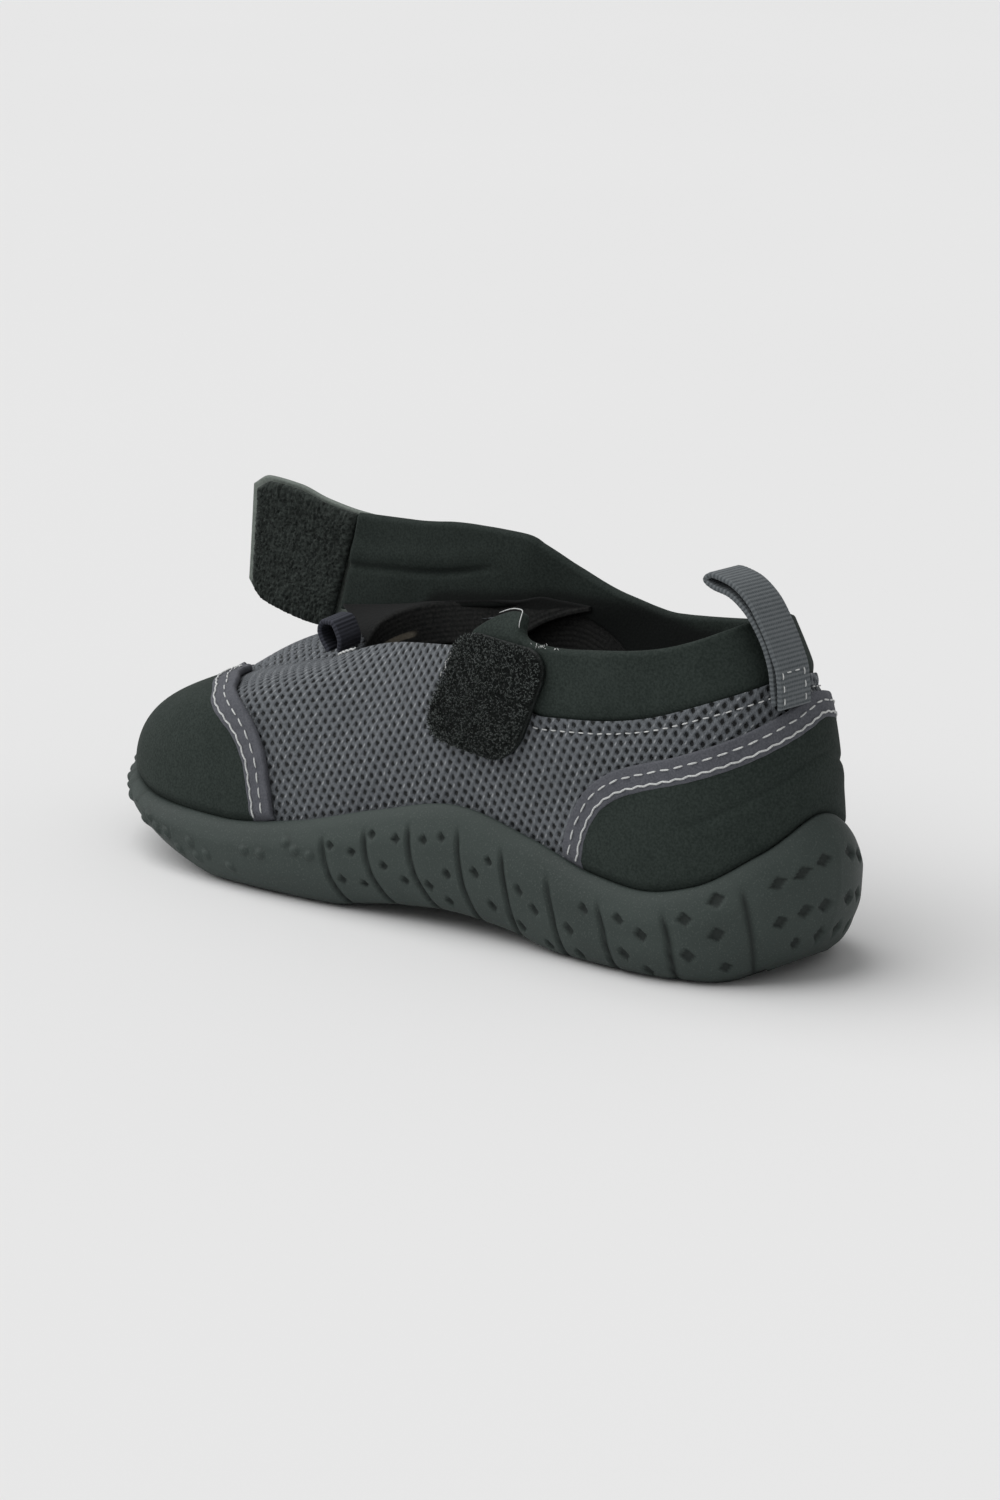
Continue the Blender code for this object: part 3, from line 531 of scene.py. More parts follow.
soleShape = {
    "columns": 960, "sideRows": 58, "treadLines": 22,
    "ground": ((-4, 10.6), (5, 4.3), (10, 1.7), (16, 0), (50, 0), (64, 2.2), (80, 3.4), (96, 2.2), (110, 0),
               (140, 0), (152, 2.4), (165, 7.0), (180, 12.4), (196, 18.0)),
    "bulge": ((0, -2.0), (0.05, 0.6), (0.18, 2.5), (0.4, 3.6), (0.64, 3.6), (0.86, 2.4), (0.97, 1.0),
              (1.0, 0.2)),
    "bulgeShare": ((0, 0.05), (1, 0.25), (2.2, 1.0), (6.4, 1.0), (8, 1.27)),
    # share of the height and way out from the last: inner wall and the round top of the rim
    "rimLine": ((0.0, 0.4), (0.4, 0.4), (0.75, 0.4), (0.95, 0.42), (0.985, 0.5), (0.998, 0.75)),
    "cupEdge": 1.2,
    "slant": 0.17, "slantMiddle": 0.4,
    "slantShare": ((0, 0), (0.6, 0), (2.1, 1), (7.3, 1), (7.9, 0), (8, 0)),
    "grooveX": 106.0 - 10.3 * np.arange(8) - 0.24 * np.arange(8) ** 2,
    "heelGroove": 7.08, "toeGrooveX": (117.0, 129.0, 141.0, 153.0, 165.0),
    "grooveDepth": 1.2, "treadDepth": 1.8, "sharpSide": 0.3, "softSide": 1.8,
    # groove's section number, mm that it bends to the heel at the bottom; mm that all stand nearer the toe
    "curl": ((3.6, 1.8), (4.0, 2.6), (4.4, 2.8), (4.7, 0.6), (5.0, -1.0), (6.3, -1.3), (7.1, 0.0)),
    "shift": ((3.6, 1.7), (4.4, 1.9), (4.7, 0.8), (7.1, 0.6)), "treadMore": 1.2,
    # section number, share of the height and half width of the diamond pits
    "pits": ((3.74, 0.69, 1.15), (3.90, 0.60, 1.15), (3.79, 0.32, 1.1), (3.94, 0.26, 1.0), (4.05, 0.76, 1.15),
             (4.23, 0.70, 1.2), (4.12, 0.44, 1.2), (4.25, 0.30, 1.15), (4.43, 0.69, 1.2), (4.56, 0.73, 1.1),
             (4.58, 0.42, 1.25), (4.42, 0.28, 1.15), (4.53, 0.16, 1.1), (4.80, 0.52, 1.3), (4.92, 0.68, 1.1),
             (4.88, 0.27, 1.3), (5.14, 0.55, 1.3), (5.24, 0.44, 1.3), (5.08, 0.20, 1.3), (5.27, 0.13, 1.2),
             (5.67, 0.67, 1.3), (5.50, 0.39, 1.4), (5.51, 0.13, 1.2), (5.95, 0.68, 1.3), (6.11, 0.55, 1.5),
             (5.92, 0.29, 1.4), (6.07, 0.12, 1.3), (6.82, 0.83, 1.7), (6.51, 0.72, 1.5), (6.76, 0.51, 1.7),
             (6.47, 0.34, 1.6), (6.78, 0.16, 1.3), (7.39, 0.73, 1.5), (7.61, 0.70, 1.5), (7.82, 0.71, 1.5),
             (7.35, 0.38, 1.5), (7.60, 0.37, 1.5), (7.83, 0.34, 1.5), (7.52, 0.13, 1.3), (7.85, 0.12, 1.3)),
    # section number and share of the height of the pips
    "pips": ((0.1, 0.5), (0.35, 0.3), (0.5, 0.6), (0.75, 0.4), (0.95, 0.7), (1.15, 0.3), (1.35, 0.55),
             (1.55, 0.75), (1.65, 0.4), (1.87, 0.86), (2.0, 0.35), (2.11, 0.61), (2.19, 0.46), (2.32, 0.51),
             (2.42, 0.32), (2.57, 0.56), (2.61, 0.37), (2.71, 0.46), (2.9, 0.35), (3.06, 0.63), (3.19, 0.60),
             (3.4, 0.77), (3.47, 0.66), (3.58, 0.60)),
    "pipHigh": 0.7, "pipWide": 1.25, "pitDepth": 0.8, "heelLine": (0.12, 0.35),
}


def slanted(turn, share):
    # the sole's columns lean: section number moved in step with the share of the height
    way = np.where(np.mod(turn, sections) < heel, -1, 1)
    lean = soleShape["slant"] * smoothTable(soleShape["slantShare"], fromToe(turn))
    return turn + way * lean * (share - soleShape["slantMiddle"])


fineTurn = np.linspace(0, heel, 801)
footX = sectionAt(fineTurn)[:, 0]
footSpeed = np.gradient(runLengths(sectionAt(fineTurn)[:, :2], 0), fineTurn)
sideGrooves = np.append(np.interp(-soleShape["grooveX"], -footX, fineTurn), soleShape["heelGroove"])
toeGrooves = np.interp(-np.array(soleShape["toeGrooveX"]), -footX, fineTurn)


def soleRelief(turn, share, height):
    # depth in mm that the side loses: curved slits, sharp towards the toe, diamond pits between them, and round
    # pips standing out at the toe; also how much painted shade each point gets: in the slits, most on their sharp
    # side, in the pits, and in a ring round each pip's foot
    t = fromToe(turn)
    speed = np.interp(t, fineTurn, footSpeed)
    below = (1 - share) * height
    start = smoothStep(2.6, 7.0, below)
    fall = (np.clip(0.6 - share, 0, 1) / 0.6) ** 2
    depth, toneMark = np.zeros_like(t + share), np.zeros_like(t + share)
    for centre in sideGrooves:
        lean = smoothTable(soleShape["curl"], centre) * fall - smoothTable(soleShape["shift"], centre)
        d = (t - centre) * speed - lean
        soft = soleShape["softSide"] * (1.5 if centre > 6 else 1.0)
        cut = np.where(d < 0, np.clip(1 + d / soleShape["sharpSide"], 0, 1), np.clip(1 - d / soft, 0, 1) ** 1.4)
        depth = np.maximum(depth, soleShape["grooveDepth"] * cut * start)
        toneMark = np.maximum(toneMark, np.where(d < 0, cut, np.clip(1 - d / (0.45 * soft), 0, 1)) * start)
    for centre, s, size in soleShape["pits"]:
        d = (t - centre) * np.interp(centre, fineTurn, footSpeed)
        cut = np.clip((1 - (np.abs(d) + np.abs(share - s) * height * 0.9) / size) / 0.25, 0, 1)
        depth = np.maximum(depth, soleShape["pitDepth"] * cut)
        toneMark = np.maximum(toneMark, 0.75 * cut)
    for centre, s in soleShape["pips"]:
        d = (t - centre) * np.interp(centre, fineTurn, footSpeed)
        d2 = (d ** 2 + ((share - s) * height) ** 2) / soleShape["pipWide"] ** 2
        depth = depth - soleShape["pipHigh"] * np.clip(1 - d2, 0, 1)
        toneMark = np.maximum(toneMark, 0.35 * np.exp(-((np.sqrt(d2) - 1.0) / 0.3) ** 2))
    high, wide = soleShape["heelLine"]
    depth = depth - high * np.clip(1 - np.abs(t - heel) * np.interp(heel, fineTurn, footSpeed) / wide, 0, 1)
    return depth, toneMark


def buildSole():
    # rings of columns round the shoe, from the inner floor up the inner wall, over the rim and down the
    # side, closed by cross lines for the floor and the tread
    n = soleShape["columns"]
    run = runLengths(sectionAt(fineTurn)[:, :2], 0)
    half = np.interp(np.linspace(0, run[-1], n // 2 + 1), run, fineTurn)
    turn = np.concatenate([half, sections - half[-2:0:-1]])
    rings, toneMarks = [], []
    for share, out in soleShape["rimLine"]:
        t = slanted(turn, share)
        floor = smoothTable(lastShape["floor"], sectionAt(t)[:, 0])
        height = floor + share * (rimHeight(t) - floor)
        ring = lastAt(t, climbAt(t, height), out)
        ring[:, 2] = height
        rings.append(ring)
        # painted shade on the cup's inner wall, below the rim's round top
        toneMarks.append(np.full(n, 0.6 if share < 0.9 else 0.0))
    for share in 1 - np.linspace(0, 1, soleShape["sideRows"]) ** 1.15:
        t = slanted(turn, share)
        bulge = smoothTable(soleShape["bulge"], share)
        swell = np.where(bulge > 0, smoothTable(soleShape["bulgeShare"], fromToe(t)), 1)
        out = soleShape["cupEdge"] + bulge * swell
        ground = smoothTable(soleShape["ground"], sectionAt(t)[:, 0] + out * outwardOf(t, 0)[:, 0])
        height = ground + share * (rimHeight(t) - ground)
        depth, toneMark = soleRelief(turn, share, rimHeight(t) - ground)
        wall = lastCentre(t, climbAt(t, height))
        plan = wall[:, :2] + (out - depth * smoothStep(0.0, 0.06, share))[:, None] * outwardOf(t, 0)
        rings.append(np.column_stack([plan, height]))
        toneMarks.append(toneMark)
    t = fromToe(turn)
    speed = np.interp(t, fineTurn, footSpeed)
    tread = np.zeros(n)
    for centre in np.concatenate([sideGrooves, toeGrooves]):
        d = np.abs(t - centre) * speed - (soleShape["treadMore"] if centre in sideGrooves else 0)
        tread = np.maximum(tread, 1 - smoothStep(0.7, 1.4, d))
    rings[-1][:, 2] += soleShape["treadDepth"] * tread
    faces = []
    count = len(rings)
    number = np.arange(count * n).reshape(count, n)
    after = np.roll(number, -1, 1)
    faces.append(np.stack([number[:-1], number[1:], after[1:], after[:-1]], -1).reshape(-1, 4))
    points, toneMark = [np.concatenate(rings)], [np.concatenate(toneMarks)]
    for ring, lines, table, lift, up in ((0, 3, lastShape["floor"], 0.0, True),
                                         (count - 1, soleShape["treadLines"], soleShape["ground"],
                                          soleShape["treadDepth"], False)):
        share = np.linspace(0, 1, lines + 2)[None, :, None]
        left, right = rings[ring][1:n // 2, None], rings[ring][:n // 2:-1, None]
        cross = left + (right - left) * share
        cut = tread[1:n // 2, None] * np.ones((1, lines + 2))
        cross[:, 1:-1, 2] = (smoothTable(table, cross[..., 0]) + lift * cut)[:, 1:-1]
        first = sum(len(p) for p in points)
        inside = first + np.arange((n // 2 - 1) * lines).reshape(n // 2 - 1, lines)
        mat = np.concatenate([number[ring, 1:n // 2, None], inside, number[ring, :n // 2:-1, None]], 1)
        quads = np.stack([mat[:-1, :-1], mat[1:, :-1], mat[1:, 1:], mat[:-1, 1:]], -1).reshape(-1, 4)
        tip = np.stack([np.full(lines + 1, number[ring, 0])] * 2 + [mat[0, :-1], mat[0, 1:]], -1)
        back = np.stack([np.full(lines + 1, number[ring, n // 2])] * 2 + [mat[-1, 1:], mat[-1, :-1]], -1)
        caps = np.concatenate([tip[:, 1:], back[:, 1:]])
        faces.append((quads if up else quads[:, ::-1], caps if up else caps[:, ::-1]))
        points.append(cross[:, 1:-1].reshape(-1, 3))
        # painted shade in the tread's cross grooves, none on the inner floor
        toneMark.append((lift * cut[:, 1:-1]).ravel())
    allFaces = faces[0].tolist()
    for quads, caps in faces[1:]:
        allFaces += quads.tolist() + caps.tolist()
    addPiece("soleCup", np.concatenate(points), allFaces, looks["rubber"], "rubber", ("outsole",),
             toneMark=np.clip(np.concatenate(toneMark), 0, 1))


buildSole()


# Mesh body, lining and web.

tapeShape = {
    # section number and climb of the middles, from the medial side to the lateral
    "toe": ((-3.06, 0.12), (-2.93, 0.16), (-2.67, 0.21), (-2.3, 0.255), (-1.8, 0.295), (-1.2, 0.325),
            (-0.8, 0.347), (-0.5, 0.385), (-0.2, 0.445), (0.1, 0.513), (0.4, 0.578), (0.7, 0.626), (1.1, 0.634),
            (1.5, 0.592), (2.23, 0.502), (2.67, 0.384), (2.93, 0.238), (3.06, 0.12)),
    "counter": ((5.42, 0.14), (5.45, 0.31), (5.57, 0.455), (5.84, 0.535), (6.52, 0.59), (7.3, 0.625),
                (7.7, 0.645), (8.0, 0.664), (8.35, 0.686), (8.8, 0.675), (9.48, 0.62), (10.16, 0.545),
                (10.43, 0.46), (10.55, 0.31), (10.58, 0.14)),
    "toeWidth": 6.2, "counterWidth": 5.6, "columns": 300,
    "edge": 0.45, "low": (0.05, 0.1), "high": (0.3, 1.35), "wave": (0.05, 1.57),   # behind the rim, more above it
    "overlayEdge": 0.6, "overlayLow": (0.05, 0.2), "overlayHigh": (0.3, 1.2), "under": 0.6,
    "behindRim": (1.6, 1.0),                         # mm that the tape and the overlay go down behind the rim
}
bodyShape = {
    "columns": 801, "rows": 78, "coarse": (161, 13), "rounds": 80, "straightAt": 3.6,
    "seamPull": (0.35, 2.6, 0.8), "wave": 0.12,      # the seam's trough: deep, mm from the edge, wide; slow waves
    # section number and climb of the hidden lower edge, under the tapes and behind the rim
    "low": ((-8, 0.60), (-7.3, 0.58), (-6.5, 0.54), (-5.9, 0.46), (-5.6, 0.33), (-5.45, 0.18), (-5.25, 0.06),
            (-4.9, 0.02), (-3.2, 0.02), (-2.93, 0.07), (-2.3, 0.16), (-1.8, 0.20), (-1.2, 0.23), (-0.8, 0.255),
            (-0.5, 0.29), (-0.2, 0.345), (0.1, 0.41), (0.4, 0.47), (0.8, 0.52), (1.4, 0.49), (2.0, 0.40),
            (2.5, 0.27), (2.85, 0.12), (3.1, 0.04), (3.4, 0.02), (4.9, 0.02), (5.25, 0.06), (5.45, 0.18),
            (5.6, 0.33), (5.9, 0.46), (6.5, 0.54), (7.3, 0.58), (8, 0.60)),
}


liningShape = {"columns": 300, "rib": 1.35, "ribHigh": 0.16, "inner": -2.05, "outer": -0.95, "edge": 0.5}
gussetShape = {
    "turns": (11.8, 15.7), "over": 1.3, "rib": 1.1, "ribHigh": 0.05, "half": 0.4, "offStrap": 2.75,
    # section number and mm: how far it hangs down, how far inside the last's top edge it turns over
    "deep": ((11.8, 0.8), (12.3, 3.0), (12.9, 9.0), (15.7, 9.0)),
    "past": ((11.8, 1.5), (12.6, 1.5), (13.0, 1.2), (15.7, 1.2)),
    # at the collar: sections where it leaves it, way in from the last, rise of the edge and of the top
    "leaves": (12.3, 13.0), "tucked": -3.2, "edgeRise": 0.6,
    "topRise": ((11.8, 0.8), (12.1, 2.2), (12.4, 3.6), (15.7, 3.6)),
    "stripTop": (4.9, 5.2), "stripFoot": (6.3, 6.6),           # mm below the throat's edge
    "stripStart": (14.2, 14.4), "stripEnd": (15.1, 15.3),      # section numbers
    # where each section meets the strap, and the height there
    "strapX": ((12.2, 92), (12.6, 97), (13, 105.5), (14, 125), (14.6, 136), (15.4, 145), (15.7, 147)),
    "strapZ": ((92, 59.6), (97, 59.0), (104, 58.2), (112, 57.0), (118, 56.0), (124, 54.8), (128, 53.8),
               (136, 52.4), (146, 51.0)),
}


def bodyGrid(turn, share):
    # mesh body: from its hidden lower edge up to the mesh's top edge
    low = smoothTable(bodyShape["low"], turn)
    top = climbAt(turn, seamHeight(turn))
    return low + share * (top - low)


def flattened(points, start, rounds):
    # cloth laid flat as rigidly as it can be: each triangle is laid flat and turned to fit its neighbours,
    # then all are joined by least squares over cotangent weights, again and again
    n, m = points.shape[:2]
    number = np.arange(n * m).reshape(n, m)
    a, b, c, d = number[:-1, :-1], number[1:, :-1], number[1:, 1:], number[:-1, 1:]
    tris = np.concatenate([np.stack([a, b, c], -1).reshape(-1, 3), np.stack([a, c, d], -1).reshape(-1, 3)])
    corner = points.reshape(-1, 3)[tris]
    e1, e2 = corner[:, 1] - corner[:, 0], corner[:, 2] - corner[:, 0]
    xWay = unit(e1)
    yWay = unit(np.cross(np.cross(e1, e2), xWay))
    flat = np.zeros((len(tris), 3, 2))
    flat[:, 1, 0] = np.linalg.norm(e1, axis=1)
    flat[:, 2] = np.stack([(e2 * xWay).sum(1), (e2 * yWay).sum(1)], -1)
    weights, system = np.zeros((len(tris), 3)), np.zeros((n * m, n * m))
    for k in range(3):
        i, j, o = k, (k + 1) % 3, (k + 2) % 3
        p, q = flat[:, i] - flat[:, o], flat[:, j] - flat[:, o]
        area = np.abs(p[:, 0] * q[:, 1] - p[:, 1] * q[:, 0])
        weights[:, k] = np.clip((p * q).sum(1) / np.maximum(area, 1e-6), 0.02, 50)
        for r, s, w in ((i, i, 1), (j, j, 1), (i, j, -1), (j, i, -1)):
            np.add.at(system, (tris[:, r], tris[:, s]), w * weights[:, k])
    system[0, 0] += 1.0
    solver = np.linalg.inv(system)
    uv = start.reshape(-1, 2)
    for _ in range(rounds):
        spread, turned = np.zeros((len(tris), 2, 2)), np.zeros((n * m, 2))
        for k in range(3):
            i, j = k, (k + 1) % 3
            spread += weights[:, k, None, None] * np.einsum("ti,tj->tij", uv[tris[:, i]] - uv[tris[:, j]],
                                                            flat[:, i] - flat[:, j])
        angle = np.arctan2(spread[:, 1, 0] - spread[:, 0, 1], spread[:, 0, 0] + spread[:, 1, 1])
        spin = np.stack([np.stack([np.cos(angle), -np.sin(angle)], -1),
                         np.stack([np.sin(angle), np.cos(angle)], -1)], -2)
        for k in range(3):
            i, j = k, (k + 1) % 3
            edge = weights[:, k, None] * np.einsum("tij,tj->ti", spin, flat[:, i] - flat[:, j])
            np.add.at(turned, tris[:, i], edge)
            np.add.at(turned, tris[:, j], -edge)
        uv = solver @ turned
    return uv.reshape(n, m, 2)


def hats(count, coarse):
    # weights that read a coarse row of values at evenly spread places, straight between them
    at = np.linspace(0, coarse - 1, count)[:, None]
    return np.clip(1 - np.abs(at - np.arange(coarse)[None, :]), 0, 1)


def buildBody():
    # the last's surface from the hidden lower edge to the top edge; the flattened cloth gives the UV, and a pit
    # (|a|^p + |b|^p)^(1/p) wide is pressed in at each hole of the knit; the top edge turns in
    columns, rows = bodyShape["columns"], bodyShape["rows"]
    turns = np.linspace(-heel, heel, 1201)
    run = runLengths(lastCentre(turns, 0.75 + 0 * turns), 0)
    spaced = np.interp(np.linspace(0, run[-1], columns), run, turns)
    n, m = bodyShape["coarse"]
    few = np.interp(np.linspace(0, run[-1], n), run, turns)[:, None]
    coarse = lastCentre(few, bodyGrid(few, np.linspace(0, 1, m)[None, :]))
    run = runLengths(coarse, 1)
    away = unit(coarse[:, :1, :2] - coarse[:, -1:, :2])          # each section opened outwards like a petal
    start = coarse[:, -1:, :2] + away * (run[:, -1:] - run)[..., None]
    flat = flattened(coarse, start, bodyShape["rounds"])
    side = int(np.argmin(np.abs(few[:, 0] - bodyShape["straightAt"])))
    spot = flat[side + 2, m // 2] - flat[side - 2, m // 2]
    angle = np.arctan2(spot[1], spot[0]) + np.radians(meshKnit["rise"])    # rows against the lateral side
    flat = flat @ np.array([[np.cos(angle), -np.sin(angle)], [np.sin(angle), np.cos(angle)]])
    share = np.concatenate([np.linspace(0, 1, rows), [1.0, 1.0]])[None, :]
    uv = np.einsum("ia,abk,jb->ijk", hats(columns, n), flat, hats(rows, m))
    uv = np.concatenate([uv, uv[:, -1:], uv[:, -1:]], 1)
    turn = spaced[:, None]
    points, normals = lastFrame(turn, bodyGrid(turn, share))
    along, across = uv[..., 0] / meshKnit["pitch"], 0.5 * uv[..., 1] / meshKnit["row"]
    a, b = along + across, along - across
    power = meshKnit["power"]
    reach = (np.abs(a % 1 - 0.5) ** power + np.abs(b % 1 - 0.5) ** power) ** (1 / power)
    hole = 1 - smoothStep(meshKnit["hole"][0] - 0.03, meshKnit["hole"][1] + 0.05, reach)
    out = -meshKnit["depth"] * hole
    up = runLengths(points, 1)
    toEdge = up[:, -1:] - up
    seamed = smoothStep(4.4, 4.8, fromToe(turn))     # the seam's stitch line pulls the mesh in
    pull, below, wide = bodyShape["seamPull"]
    out = out - pull * seamed * np.exp(-((toEdge - below) / wide) ** 2)
    wave = np.sin(points[..., 0] * 0.31 + points[..., 2] * 0.23)
    out = out + bodyShape["wave"] * wave * smoothStep(0, 6, toEdge)
    out[:, -3:] = np.array([-0.15, -0.7, -1.4])
    points = points + normals * out[..., None]
    points[:, -2:, 2] -= np.array([0.1, 0.8])
    faces = layFaces(columns, rows + 2)
    addPiece("meshBody", points, faces, looks["mesh"], "mesh", ("upper",), uv)


def buildLining():
    # sheet inside the mesh, cap and counter, with ribs on its inner face: a sine of the way down from the top
    turn = np.linspace(0, sections, liningShape["columns"], endpoint=False)[:, None]
    top = climbAt(turn, seamHeight(turn) - 1.0)
    share = 1 - (1 - edgedSteps(110, 50, liningShape["edge"])[None, :]) ** 1.3
    points, normals = lastFrame(turn, share * top)
    run = runLengths(points, 1)
    ribs = liningShape["ribHigh"] * np.sin(2 * np.pi * (run[:, -1:] - run) / liningShape["rib"])
    made, faces = roundedSheet(points, normals, liningShape["inner"] + ribs, liningShape["outer"] + 0 * ribs,
                               liningShape["edge"], ring=True)
    addPiece("lining", made, faces, looks["lining"], "foam", toneMark=np.zeros(len(made)))


def buildGusset():
    # dark web from the strap's inner face over the throat's medial edge, hanging down inside it: straight from
    # strap to edge and from edge to foot in each section, painted black above the edge as painted shade, ribbed
    # below, with a pale strip
    half = gussetShape["half"]
    turn = np.interp(edgedSteps(80, 50, half), (0, 1), gussetShape["turns"])
    border = lastCentre(turn, 1 + 0 * turn)
    inward = unit(border - lastCentre(turn, 0.98 + 0 * turn))
    up = np.array([0, 0, 1.0])
    edge = border + inward * smoothTable(gussetShape["past"], turn)[:, None] + gussetShape["over"] * up
    early = (1 - smoothStep(*gussetShape["leaves"], turn))[:, None]
    tucked = lastAt(turn, 1 + 0 * turn, gussetShape["tucked"] + 0 * turn)
    edge = edge * (1 - early) + (tucked + gussetShape["edgeRise"] * up) * early
    foot = edge - smoothTable(gussetShape["deep"], turn)[:, None] * up
    x = smoothTable(gussetShape["strapX"], turn)
    y = smoothTable(collarShape["face"], x) + gussetShape["offStrap"]
    top = np.stack([x, y, smoothTable(gussetShape["strapZ"], x)], -1)
    tucked[:, 2] += smoothTable(gussetShape["topRise"], turn)
    top = top * (1 - early) + tucked * early
    share = edgedSteps(60, 14, half)[None, :, None]
    below, above = np.clip(1 - 2 * share, 0, 1), np.clip(2 * share - 1, 0, 1)
    points = foot[:, None] * below + edge[:, None] * (1 - below - above) + top[:, None] * above
    run = runLengths(points, 1)
    fromEdge = run[:, run.shape[1] // 2, None] - run
    strip = smoothStep(*gussetShape["stripTop"], fromEdge) - smoothStep(*gussetShape["stripFoot"], fromEdge)
    ends = smoothStep(*gussetShape["stripStart"], turn) - smoothStep(*gussetShape["stripEnd"], turn)
    strip = strip * ends[:, None]
    ribs = gussetShape["ribHigh"] * np.sin(2 * np.pi * run / gussetShape["rib"])
    ribs = ribs * (1 - strip) * smoothStep(-0.5, 0.5, fromEdge)
    made, faces = roundedSheet(points, gridNormals(points), ribs - half, ribs + half, half)
    # pale strip at 1, painted black shade at -1 above the edge
    shade = strip - smoothStep(0.4, -0.4, fromEdge)
    addPiece("gusset", made, faces, looks["lining"], "foam", toneMark=np.tile(shade.ravel(), 2))


buildBody()
buildLining()


# Insole.

insoleShape = {"inset": -3.0, "lift": 0.35, "dish": 0.5, "thick": 2.9, "edge": 1.2, "ends": (0.35, 7.55)}


def buildInsole():
    # foam sheet across the shoe between the two sides of the feather edge, dished by the fourth power of the
    # way from its middle
    edge = insoleShape["edge"]
    turn = np.interp(edgedSteps(110, 180, edge), (0, 1), insoleShape["ends"])
    near, far = (lastAt(t, 0 * t, insoleShape["inset"]) for t in (turn, sections - turn))
    share = edgedSteps(24, 50, edge)[None, :, None]
    points = near[:, None] + (far - near)[:, None] * share
    dish = insoleShape["dish"] * (2 * share[..., 0] - 1) ** 4
    points[..., 2] = smoothTable(lastShape["floor"], points[..., 0]) + insoleShape["lift"] + dish
    normals = np.zeros_like(points) + np.array([0, 0, 1.0])
    made, faces = roundedSheet(points, normals, 0.0, insoleShape["thick"], edge)
    piece = addPiece("insoleFoam", made, faces, looks["insole"], "foam", ("insole",))


buildInsole()


# Toe cap, heel counter and their tapes.

def tapeLines(rows, offsets, count):
    # lines beside a tape's middle, each a (section number, climb) row set: the sideways step on the last,
    # solved for the two parameters by least squares
    middle = evenPath(rows, count)
    turn, climb = middle[:, 0], middle[:, 1]
    step = 0.01
    across = (lastAt(turn + step, climb) - lastAt(turn - step, climb)) / (2 * step)
    along = (lastAt(turn, climb + step) - lastAt(turn, climb - step)) / (2 * step)
    change = np.gradient(middle, axis=0)
    way = change[:, :1] * across + change[:, 1:] * along
    side = unit(np.cross(np.cross(across, along), way))
    aa, ab, bb = (across * across).sum(1), (across * along).sum(1), (along * along).sum(1)
    sa, sb = (side * across).sum(1), (side * along).sum(1)
    shift = np.stack([sa * bb - sb * ab, sb * aa - sa * ab], -1) / (aa * bb - ab * ab)[:, None]
    return middle[:, None] + shift[:, None] * np.asarray(offsets)[None, :, None]


def overRim(turn, climb):
    # 0 where a layer is tucked behind the sole's rim, 1 from about 2 mm above it
    return smoothStep(-0.8, 2.2, lastCentre(turn, climb)[..., 2] - rimHeight(turn))


def keepAbove(turn, climb):
    return np.maximum(climb, climbAt(turn, rimHeight(turn) - tapeShape["behindRim"][0]))


def between(pair, tuck):
    # mm along the normal: the first behind the rim, the second more above it
    return pair[0] + pair[1] * tuck


def buildTaped(overlay, band, nodes, rows, width, crease):
    # tape along its middle line, low waves along it; then the overlay from the rim up to the tape's lower edge
    edge, count = tapeShape["edge"], tapeShape["columns"]
    across = edgedSteps(12, width, edge)
    grid = tapeLines(rows, (across - 0.5) * width, count)
    turn, climb = grid[..., 0], grid[..., 1]
    climb = keepAbove(turn, climb)
    tuck = overRim(turn, climb)
    points, normals = lastFrame(turn, climb)
    run = runLengths(points, 0)
    waveHigh, waveRate = tapeShape["wave"]
    high = between(tapeShape["high"], tuck) + waveHigh * np.sin(run * waveRate) * tuck
    made, faces = roundedSheet(points, normals, between(tapeShape["low"], tuck), high, edge)
    uv = np.stack([run, np.broadcast_to(across * width, run.shape)], -1)
    addPiece(band, made, faces, looks["tape"], "tape", nodes[1:], np.tile(uv.reshape(-1, 2), (2, 1)))
    line = tapeLines(rows, (-0.5 * width + tapeShape["under"],), count)[:, 0]
    turn, top = line[:, 0], line[:, 1]
    foot = climbAt(turn, rimHeight(turn) - tapeShape["behindRim"][1])
    tall = top - foot > 0.006
    turn, top, foot = turn[tall][:, None], top[tall][:, None], foot[tall][:, None]
    share = edgedSteps(48, 40, tapeShape["overlayEdge"])[None, :]
    climb = foot + (top - foot) * share
    points, normals = lastFrame(turn, climb)
    tuck = overRim(turn, climb)
    high = between(tapeShape["overlayHigh"], tuck) + crease(points, turn, share) * tuck
    made, faces = roundedSheet(points, normals, between(tapeShape["overlayLow"], tuck), high,
                               tapeShape["overlayEdge"])
    addPiece(overlay, made, faces, looks["neoprene"], "neoprene", nodes[:1])


def capCrease(points, turn, share):
    # soft emboss near the far edge and slow waves
    emboss = -0.25 * np.exp(-((share - 0.86) / 0.05) ** 2) * smoothStep(0.0, 0.6, -turn)
    return emboss + 0.10 * np.sin(points[..., 0] * 0.21 + points[..., 1] * 0.17)


def counterCrease(points, turn, share):
    # a soft crease rising to the heel with a low ridge under it, and slow waves
    off = share - 0.62 - 0.04 * (fromToe(turn) - 7)
    fold = -0.45 * np.exp(-(off / 0.035) ** 2) + 0.2 * np.exp(-((off + 0.12) / 0.08) ** 2)
    fade = smoothStep(6.3, 6.8, fromToe(turn))
    return fold * fade + 0.10 * np.sin(points[..., 0] * 0.19 - points[..., 2] * 0.25)


buildTaped("toeCap", "toeBand", ("toe_cap", "toe_band"), tapeShape["toe"], tapeShape["toeWidth"], capCrease)
buildTaped("heelCounter", "counterBand", ("heel_counter", "counter_band"), tapeShape["counter"],
           tapeShape["counterWidth"], counterCrease)


# Collar and strap.

